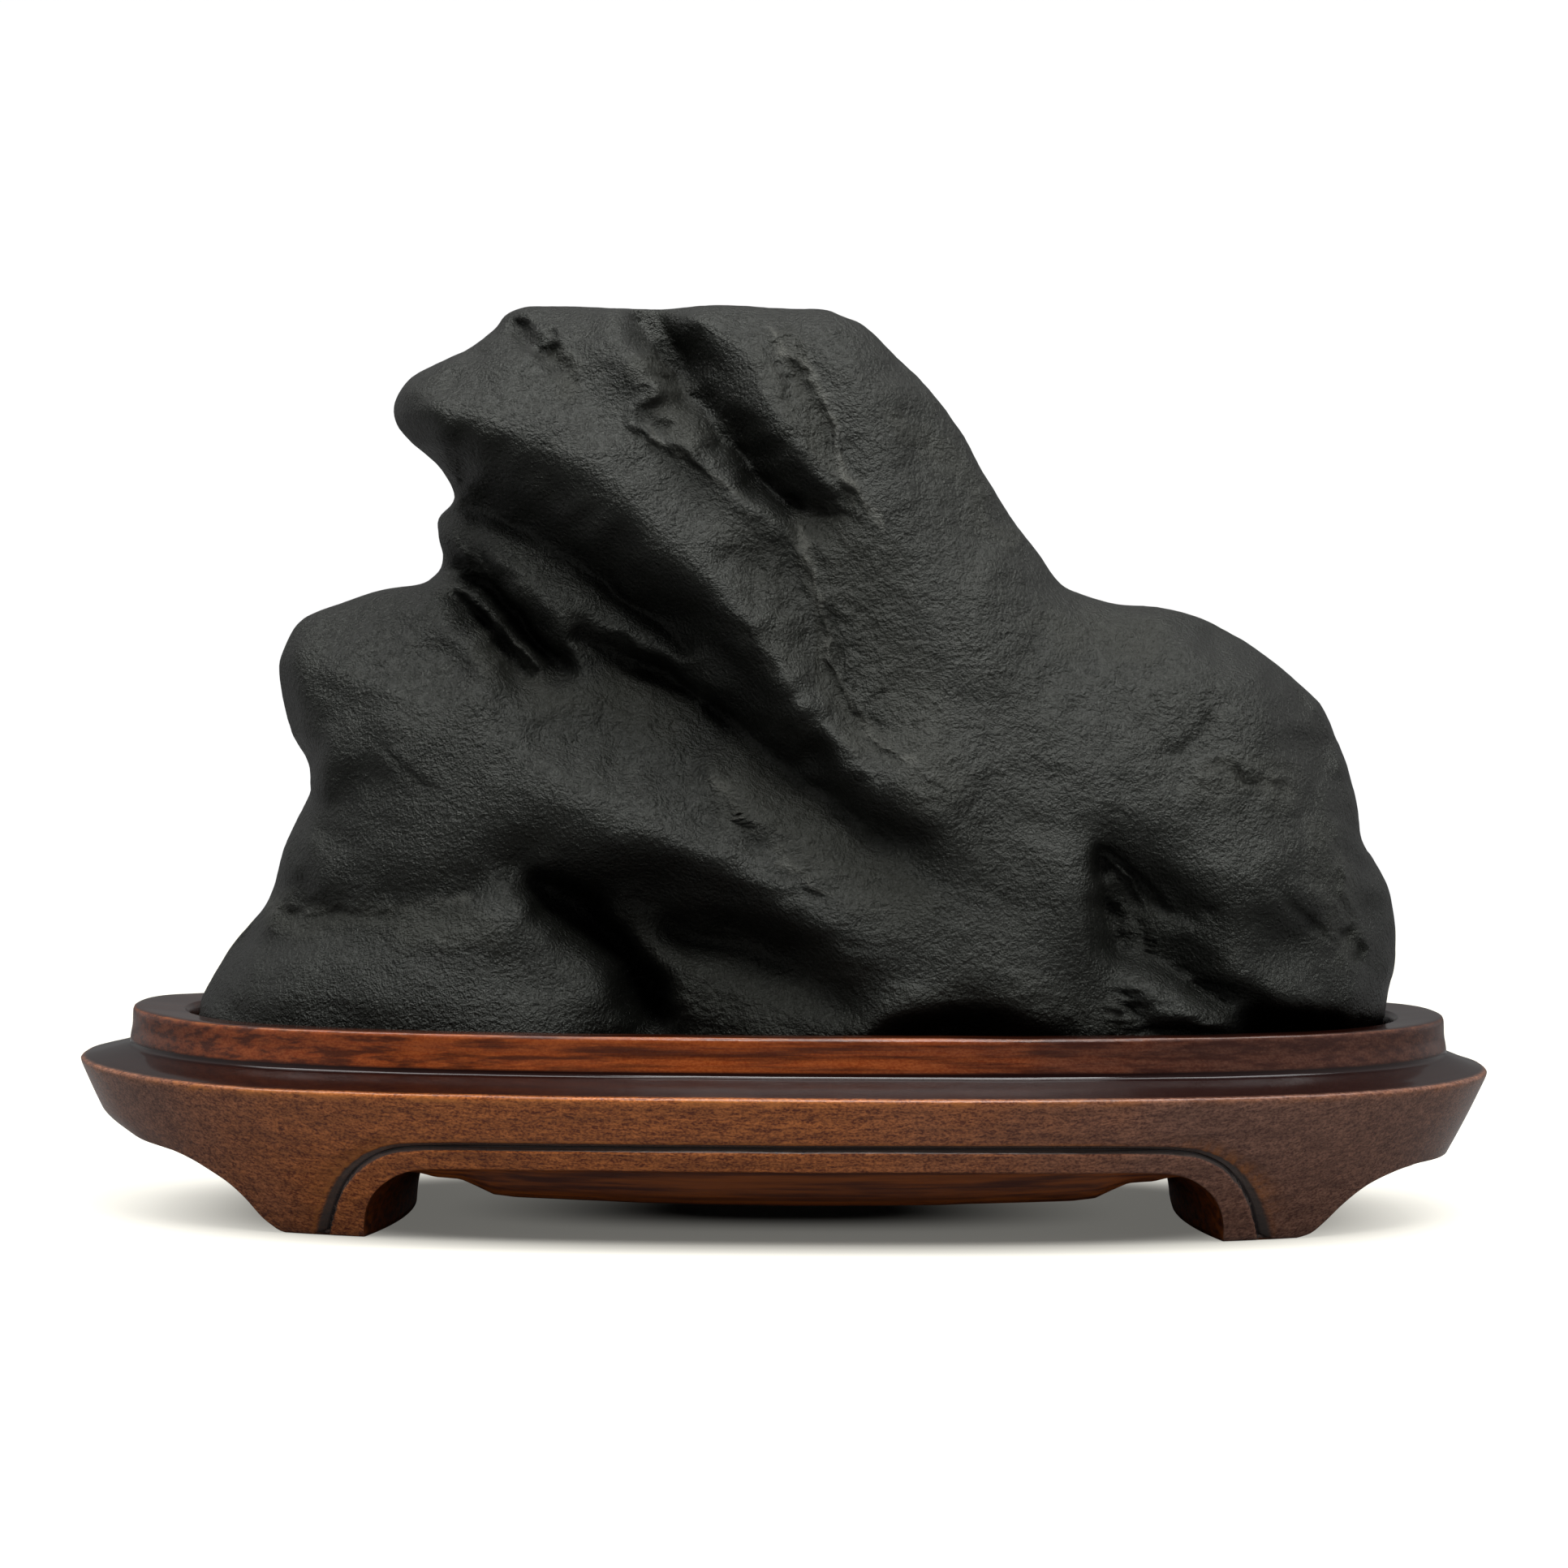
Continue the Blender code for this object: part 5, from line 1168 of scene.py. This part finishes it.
def stand_rows():
    """Rows of points on the front half of the stand, from the seat's middle over the outside to the
    middle of the underside, as arrays of X, Y and Z, with how worn and how stained each point is."""
    edge_x, edge_z, edge_y, drawn = lower_edge()
    edge_inset = wall_inset(edge_z)
    ratio = np.clip(edge_x / (LEDGE_HALF_LENGTH - edge_inset), -1, 1)
    edge_turn = 2 * math.pi - np.arccos(np.sign(ratio) * np.abs(ratio) ** (PLAN_POWER / 2))
    edge_share = plan_share(edge_turn)
    top_share = spread_over_top(edge_x, edge_y, edge_z, edge_share)
    top_turn = plan_turn(top_share)
    rows = []

    def ring(half_length, half_depth, shift, height, worn, stained, squeeze=1.0):
        x, y = oval(top_turn, half_length, half_depth)
        rows.append((x + shift, y * squeeze, np.full_like(x, height), worn, stained))

    for squeeze in SEAT_FLOOR_ROWS:
        ring(SEAT_HALF_LENGTH - SEAT_FLOOR_INSET, SEAT_HALF_DEPTH - SEAT_FLOOR_INSET, SEAT_SHIFT,
             SEAT_FLOOR, 0.0, 1.0, squeeze)
    for spread, height in SEAT_PROFILE[::-1]:
        ring(SEAT_HALF_LENGTH + spread, SEAT_HALF_DEPTH + spread, SEAT_SHIFT, height, 0.0, SEAT_STAIN)
    collar = smooth_curve(COLLAR_PROFILE, PROFILE_CURVE)[::-1]
    inner_length = SEAT_HALF_LENGTH + SEAT_PROFILE[0][0]
    inner_depth = SEAT_HALF_DEPTH + SEAT_PROFILE[0][0]
    rim_ends = COLLAR_PROFILE[-1][0]
    for inset, height in collar:
        inwards = np.clip((inset - RIM_STARTS) / (rim_ends - RIM_STARTS), 0, 1)
        length = LEDGE_HALF_LENGTH - min(inset, RIM_STARTS)
        depth = LEDGE_HALF_DEPTH - min(inset, RIM_STARTS)
        length += inwards * (inner_length - length)
        depth += inwards * (inner_depth - depth)
        shift = COLLAR_SHIFT + inwards * (SEAT_SHIFT - COLLAR_SHIFT)
        stained = RIM_STAIN * float(inset > RIM_STAIN_FROM)
        ring(length, depth, shift, height, wear(inset, height, COLLAR_WEAR), stained)
    ledge = smooth_curve(LEDGE_PROFILE, PROFILE_CURVE)[::-1]
    for inset, height in ledge[1:-1]:
        shift = COLLAR_SHIFT * np.clip((inset - COLLAR_SHIFT_STARTS) / COLLAR_SHIFT_LENGTH, 0, 1)
        stained = np.clip((inset - LEDGE_STAIN_FROM) / LEDGE_STAIN_LENGTH, 0, 1)
        ring(LEDGE_HALF_LENGTH - inset, LEDGE_HALF_DEPTH - inset, shift, height,
             wear(inset, height, LEDGE_WEAR), stained)
    top = WALL_PROFILE[-1][1]
    for share in 1 - (1 - np.linspace(0, 1, WALL_ROWS)) ** WALL_CROWDING:
        z = top + share * (edge_z - top)
        turn = plan_turn(top_share + share * (edge_share - top_share))
        inset = wall_inset(z)
        x, y = oval(turn, LEDGE_HALF_LENGTH - inset, LEDGE_HALF_DEPTH - inset)
        worn = WALL_WEAR * np.exp(-((z - top) / WALL_WEAR_REACH) ** 2)
        rows.append((x, y, z, worn, 0.0))
    for k in range(1, UNDER_ROWS + 1):
        y = (1 - (k / UNDER_ROWS) ** UNDER_CROWDING) * edge_y
        narrowing = leg_spread(y) - leg_spread(edge_y)
        x = np.where(np.isnan(drawn), edge_x, edge_x + np.nan_to_num(drawn) * narrowing)
        on_floor = np.isclose(edge_z, 0)
        x = np.where(on_floor & np.isnan(drawn), sole_x(edge_x, y, edge_y), x)
        drop = np.where(on_floor, 0.0, belly_drop(x - LEG_SHIFT, y))
        rows.append((x, -y, edge_z - drop, 0.0, UNDER_STAIN))
    return rows


def sole_x(edge_x, y, edge_y):
    """X across the soles, stretched between the leg's outer side and its inner side at each Y."""
    side = np.sign(edge_x)
    outer = np.where(side < 0, LEFT_END_CURVE[0][0], RIGHT_END_CURVE[0][0])
    share = np.clip((outer - np.abs(edge_x - LEG_SHIFT)) / (outer - ARCH[0][0]), 0, 1)
    return edge_x + side * share * ARCH[0][0] * (leg_spread(y) - leg_spread(edge_y))


def raise_ends(grid):
    """Lifts the stand's two ends a little, and rounds the left end in at its foot."""
    x, z = grid[..., 0], grid[..., 2]
    towards_tip = np.clip((np.abs(x) - END_RISE_STARTS) / END_RISE_LENGTH, 0, 1)
    rise = np.where(x < 0, *END_RISE) * towards_tip ** END_RISE_POWER
    downwards = np.clip((LEFT_TUCK_STARTS - z) / (LEFT_TUCK_STARTS - END_HEIGHTS[0]), 0, 1)
    leftwards = np.clip((-x - LEFT_TUCK_FROM) / LEFT_TUCK_LENGTH, 0, 1)
    grid[..., 0] += LEFT_TUCK * downwards ** LEFT_TUCK_POWER * leftwards
    grid[..., 2] += rise * np.clip(z / FULL_RISE_HEIGHT, 0, 1)


def round_edge(grid, row, reach, passes):
    """Rounds the edge at one row by averaging its neighbouring rows."""
    for _ in range(passes):
        part = grid[row - reach:row + reach + 1].copy()
        part[1:-1] = 0.25 * part[:-2] + 0.5 * part[1:-1] + 0.25 * part[2:]
        grid[row - reach:row + reach + 1] = part


def whole_ring(half):
    """Adds the mirror image at the back to values on the front half of the stand's rows."""
    flip = (1, -1, 1) if half.ndim == 3 else 1
    return np.concatenate([half, half[:, 1:-1][:, ::-1] * flip], axis=1)


def place_groove(points, on_wall):
    """Distance of each point from the groove, positive above it, its nearness to the groove's corners,
    and the distance along it."""
    half = [(-x, z) for x, z in GROOVE[:-1]]
    route = smooth_curve(half + GROOVE[::-1], GROOVE_CURVE) + (LEG_SHIFT, 0)
    away, run, side = distance_to_line(points[:, 0], points[:, 2], route)
    wider = np.where(side > 0, np.interp(points[:, 2], *np.transpose(GROOVE_WIDENING)), 1.0)
    groove = np.where(on_wall, away * side / wider, FAR_FROM_GROOVE)
    scoop = 0
    for sign in (-1, 1):
        corner = (LEG_SHIFT + sign * GROOVE_CORNER[0], GROOVE_CORNER[1])
        place = lengths_along(route)[np.argmin(np.hypot(*(route - corner).T))]
        scoop = scoop + np.exp(-((run - place) / SCOOP_REACH) ** 2)
    return groove, np.clip(scoop, 0, 1), run


def make_stand():
    """The stand: one closed skin of rows, carved, with its painted values."""
    rows = stand_rows()
    count = len(rows[0][0])
    grid = np.array([np.column_stack(row[:3]) for row in rows])
    worn, stained = (np.array([np.broadcast_to(row[k], count) for row in rows]) for k in (3, 4))
    edge_row = len(rows) - UNDER_ROWS - 1
    round_edge(grid, edge_row, EDGE_ROUNDED_ROWS, EDGE_ROUNDED_TIMES)
    grid, worn, stained = whole_ring(grid), whole_ring(worn), whole_ring(stained)
    spokes = grid.shape[1]
    row_of = np.repeat(np.arange(len(rows)), spokes)
    on_wall = (row_of > edge_row - WALL_ROWS) & (row_of <= edge_row)
    groove, scoop, run = place_groove(grid.reshape(-1, 3), on_wall)
    raise_ends(grid)
    faces = []
    for low in range(0, (len(rows) - 1) * spokes, spokes):
        for i in range(spokes):
            after = (i + 1) % spokes
            faces.append((low + i, low + after, low + spokes + after, low + spokes + i))
    stand = piece_from("carved_stand", grid.reshape(-1, 3), faces, {
        "worn": worn.ravel(), "stained": stained.ravel(), "groove": groove,
        "bare": row_of > edge_row, "scoop": scoop, "run": run})
    shape_with(stand, carving_tree(stained_wood()), CARVING)
    return stand


def carving_tree(material):
    """Cuts the groove and the scooped bevels at its corners, and leaves the unevenness of hand work."""
    tree, size = shaping_tree("carved_groove", CARVING)
    away = times(tree, painted(tree, "groove"), MM)
    scoop = painted(tree, "scoop")
    run = painted(tree, "run")
    position = tree.nodes.new("GeometryNodeInputPosition").outputs[0]
    half, bevel_width = times(tree, size["Groove Width"], 0.5), size["Bevel Width"]
    lower = fade(tree, away, times(tree, half, -1.0), times(tree, half, -0.2))
    bevel = fade(tree, away, times(tree, half, 0.2), bevel_width, 1.0, 0.3, smooth=False)
    lip = fade(tree, away, bevel_width, add_up(tree, bevel_width, half), 1.0, 0.0)
    cut = calc(tree, "MINIMUM", lower, times(tree, bevel, lip))
    scooped = fade(tree, away, bevel_width, size["Scoop Width"], 1.0, 0.0)
    inside = fade(tree, away, half, bevel_width)
    scooped = times(tree, times(tree, scooped, inside), scoop)
    marks = add(tree, "ShaderNodeTexNoise", {
        "W": run, "Scale": MARK_SCALE, "Detail": 2.0}, noise_dimensions="1D").outputs["Fac"]
    deepened = fade(tree, marks, 0.3, 0.7, *MARK_DEPTHS)
    scoop_depth = times(tree, times(tree, scooped, deepened), size["Scoop Depth"])
    depth = add_up(tree, times(tree, cut, size["Groove Depth"]), scoop_depth)
    ripple = add(tree, "ShaderNodeTexNoise", {
        "Vector": position, "Scale": RIPPLE_SCALE, "Detail": 2.0, "W": size["Seed"]},
        noise_dimensions="4D").outputs["Fac"]
    ripple = times(tree, calc(tree, "SUBTRACT", ripple, 0.5), size["Unevenness"])
    up = add(tree, "ShaderNodeSeparateXYZ", {0: position}).outputs[2]
    above_sole = fade(tree, up, *(height * MM for height in FLAT_SOLE))
    moved = push_out(tree, size["Geometry"], calc(tree, "SUBTRACT", times(tree, ripple, above_sole), depth))
    for label, value in (("cut", cut), ("scooped", scooped), ("marks", marks)):
        moved = add(tree, "GeometryNodeStoreNamedAttribute", {
            "Geometry": moved, "Name": label, "Value": value}, data_type="FLOAT").outputs[0]
    finish_tree(tree, moved, material)
    return tree


def stained_wood():
    """Red-brown stained wood under satin lacquer: worn to gold along its edges, nearly black in the
    ledge's hollow, and bare golden wood underneath. A painted grey reflection lies on its ends and on the
    groove's upper flank, and painted shade in the groove's bottom."""
    material, tree, shader = new_material("lacquered_wood")
    place = tree.nodes.new("ShaderNodeTexCoord").outputs["Object"]

    def value_of(label):
        return add(tree, "ShaderNodeAttribute", attribute_name=label).outputs["Fac"]

    def noise_of(scale, stretch, detail):
        stretched = add(tree, "ShaderNodeMapping", {"Vector": place, "Scale": stretch}).outputs[0]
        return add(tree, "ShaderNodeTexNoise", {
            "Vector": stretched, "Scale": scale, "Detail": detail, "Roughness": 0.6}).outputs["Fac"]

    speckle, streaks, bands, cloud, chips = (
        noise_of(*WOOD_NOISE[layer]) for layer in ("speckle", "streaks", "bands", "cloud", "chips"))
    across, _, up = add(tree, "ShaderNodeSeparateXYZ", {0: place}).outputs
    outwards = calc(tree, "ABSOLUTE", calc(tree, "SUBTRACT", across, BRIGHTEST_WOOD_X))
    outwards = add_up(tree, outwards, times(tree, calc(tree, "SUBTRACT", cloud, 0.5), WOOD_DRIFT))
    towards_end = fade(tree, outwards, END_SHEEN_FROM, END_SHEEN_FULL)
    grain = add_up(tree, times(tree, fade(tree, speckle, 0.4, 0.6), SPECKLE_SHARE),
                   times(tree, fade(tree, streaks, 0.35, 0.65), 1 - SPECKLE_SHARE))
    # Towards the ends the wood turns greyer: a painted reflection of the white surroundings
    wood = blend_colours(tree, towards_end, blend_colours(tree, grain, *MIDDLE_WOOD),
                         blend_colours(tree, grain, *SHEENED_END_WOOD))
    collar = fade(tree, up, COLLAR_WOOD_FROM, COLLAR_WOOD_FULL)
    ring = blend_colours(tree, times(tree, towards_end, 0.85), *COLLAR_WOOD)
    wood = blend_colours(tree, times(tree, collar, 0.8), wood, ring)
    banded = times(tree, fade(tree, bands, 0.4, 0.64), add_up(tree, 0.3, times(tree, collar, 0.5)))
    wood = blend_colours(tree, banded, wood, BAND_WOOD)
    bare = value_of("bare")
    golden = blend_colours(tree, fade(tree, bands, 0.35, 0.65), *BARE_WOOD)
    wood = blend_colours(tree, bare, wood, golden)
    away = value_of("groove")
    lip = times(tree, fade(tree, away, 0.9, 1.1), fade(tree, away, 1.15, 1.5, 1.0, 0.0))
    worn = calc(tree, "MAXIMUM", value_of("worn"), times(tree, lip, 0.7))
    worn = times(tree, worn, fade(tree, chips, 0.42, 0.6, 0.1, 0.8))
    worn = times(tree, worn, fade(tree, towards_end, 0.5, 1.0, 1.0, 0.25))
    wood = blend_colours(tree, worn, wood, WORN_WOOD)
    scooped = times(tree, value_of("scooped"), fade(tree, value_of("marks"), 0.4, 0.6, 1.0, 0.2))
    wood = blend_colours(tree, times(tree, scooped, 0.6), wood, WORN_WOOD)
    # Painted reflection: the groove's upper flank turns grey
    cut = value_of("cut")
    wood = blend_colours(tree, fade(tree, cut, 0.1, 0.4, 0.0, 0.9), wood, GROOVE_FLANK_REFLECTION)
    # Painted shade: the groove's bottom is made as dark as the stain
    stained = calc(tree, "MAXIMUM", times(tree, value_of("stained"), 0.98), fade(tree, cut, 0.75, 0.95))
    wood = blend_colours(tree, stained, wood, STAIN_AND_GROOVE_SHADE)
    tree.links.new(wood, shader.inputs["Base Color"])
    height = times(tree, add_up(tree, times(tree, speckle, 0.5), streaks),
                   blend_numbers(tree, stained, 1.0, STAINED_GRAIN))
    bump = add(tree, "ShaderNodeBump", {
        "Height": height, "Strength": GRAIN_BUMP_STRENGTH, "Distance": GRAIN_BUMP}).outputs["Normal"]
    tree.links.new(bump, shader.inputs["Normal"])
    satin = blend_numbers(tree, stained, fade(tree, cloud, 0.3, 0.7, *LACQUER), STAINED_GLOSS)
    satin = add_up(tree, satin, times(tree, bare, BARE_DULLNESS))
    tree.links.new(satin, shader.inputs["Roughness"])
    shader.inputs["Specular IOR Level"].default_value = 0.4
    return material


# ---------------------------------------------------------------- studio

def make_camera():
    """The camera, straight in front and level with the stone's shoulder."""
    camera = bpy.data.cameras.new("camera")
    camera.sensor_width = SENSOR_WIDTH
    camera.lens = camera.sensor_width * FOCAL_PIXELS / FRAME_WIDTH
    camera.clip_end = 20
    obj = bpy.data.objects.new("camera", camera)
    bpy.context.scene.collection.objects.link(obj)
    pitch = math.atan((FRAME_WIDTH / 2 - HORIZON) / FOCAL_PIXELS)
    obj.location = (CAMERA_X, -CAMERA_DISTANCE, CAMERA_HEIGHT)
    turned = Matrix.Rotation(math.pi / 2 - pitch, 3, "X") @ Matrix.Rotation(CAMERA_ROLL, 3, "Z")
    obj.rotation_euler = turned.to_euler()
    bpy.context.scene.camera = obj


def soft_light(name, size, watts, place):
    """A rectangular soft box aimed at the object."""
    light = bpy.data.lights.new(name, "AREA")
    light.shape = "RECTANGLE"
    light.size, light.size_y = size
    light.energy = watts
    obj = bpy.data.objects.new(name, light)
    bpy.context.scene.collection.objects.link(obj)
    obj.location = place
    aim = Vector(LIGHT_TARGET) - Vector(place)
    obj.rotation_euler = aim.to_track_quat("-Z", "Y").to_euler()


def white_room():
    """Surroundings: white to look at, brightest overhead and to the sides, and dim in front."""
    world = bpy.data.worlds.new("white_room")
    bpy.context.scene.world = world
    world.use_nodes = True
    tree = world.node_tree
    background = tree.nodes["Background"]
    background.inputs["Color"].default_value = (1, 1, 1, 1)
    direction = tree.nodes.new("ShaderNodeTexCoord").outputs["Generated"]
    across, back, up = add(tree, "ShaderNodeSeparateXYZ", {0: direction}).outputs
    overhead = fade(tree, up, 0.1, 0.95, 0.0, ROOM_OVERHEAD)
    behind = fade(tree, back, -0.5, 0.7, ROOM_FRONT, ROOM_BACK)
    beside = fade(tree, calc(tree, "ABSOLUTE", across), 0.3, 0.95, 0.0, ROOM_SIDES)
    light = add_up(tree, overhead, add_up(tree, behind, beside))
    light = times(tree, light, fade(tree, up, -0.1, 0.02, ROOM_BELOW, 1.0))
    seen = tree.nodes.new("ShaderNodeLightPath").outputs["Is Camera Ray"]
    tree.links.new(blend_numbers(tree, seen, light, ROOM_SEEN), background.inputs["Strength"])


def paper_floor():
    """A disc of white paper. It is brighter to look at than it is as a light on the object, and its glow
    paints the light beside the stand and the shadow under it.
    """
    mesh = bpy.data.meshes.new("floor")
    disc = bmesh.new()
    bmesh.ops.create_circle(disc, cap_ends=True, segments=FLOOR_SIDES, radius=FLOOR_RADIUS)
    disc.to_mesh(mesh)
    disc.free()
    floor = bpy.data.objects.new("floor", mesh)
    bpy.context.scene.collection.objects.link(floor)
    material, tree, shader = new_material("white_paper")
    seen = tree.nodes.new("ShaderNodeLightPath").outputs["Is Camera Ray"]
    tree.links.new(blend_colours(tree, seen, PAPER_AS_LIGHT, PAPER), shader.inputs["Base Color"])
    place = tree.nodes.new("ShaderNodeTexCoord").outputs["Object"]
    across, back, _ = add(tree, "ShaderNodeSeparateXYZ", {0: place}).outputs
    # Painted light and shadow: the camera sees the paper glow beside the stand and much less beneath it
    powers = []
    for distance, half in ((across, GLOW_HALF_LENGTH), (back, GLOW_HALF_DEPTH)):
        share = calc(tree, "ABSOLUTE", calc(tree, "DIVIDE", distance, half))
        powers.append(calc(tree, "POWER", share, PLAN_POWER))
    reach = calc(tree, "POWER", add_up(tree, *powers), 1 / PLAN_POWER)
    beside = fade(tree, reach, *GLOW_BESIDE, 0.0, 1 - GLOW_UNDER_SHARE)
    glow = add_up(tree, beside, fade(tree, reach, *GLOW_UNDER, 0.0, GLOW_UNDER_SHARE))
    glow = times(tree, times(tree, glow, seen), PAPER_GLOW)
    tree.links.new(glow, shader.inputs["Emission Strength"])
    shader.inputs["Emission Color"].default_value = (*PAPER_TONE, 1)
    shader.inputs["Roughness"].default_value = 0.9
    shader.inputs["Specular IOR Level"].default_value = 0.1
    mesh.materials.append(material)


def make_studio():
    """Plain pale surroundings, a paper floor and soft light."""
    bpy.context.scene.view_settings.view_transform = "Standard"
    white_room()
    paper_floor()
    for name, (size, watts, place) in LIGHTS.items():
        soft_light(name, size, watts, place)


make_camera()
make_studio()
stone = make_stone()
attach(stone, "root")
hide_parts("rock")
stand = make_stand()
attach(stand, "root")
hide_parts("stand")
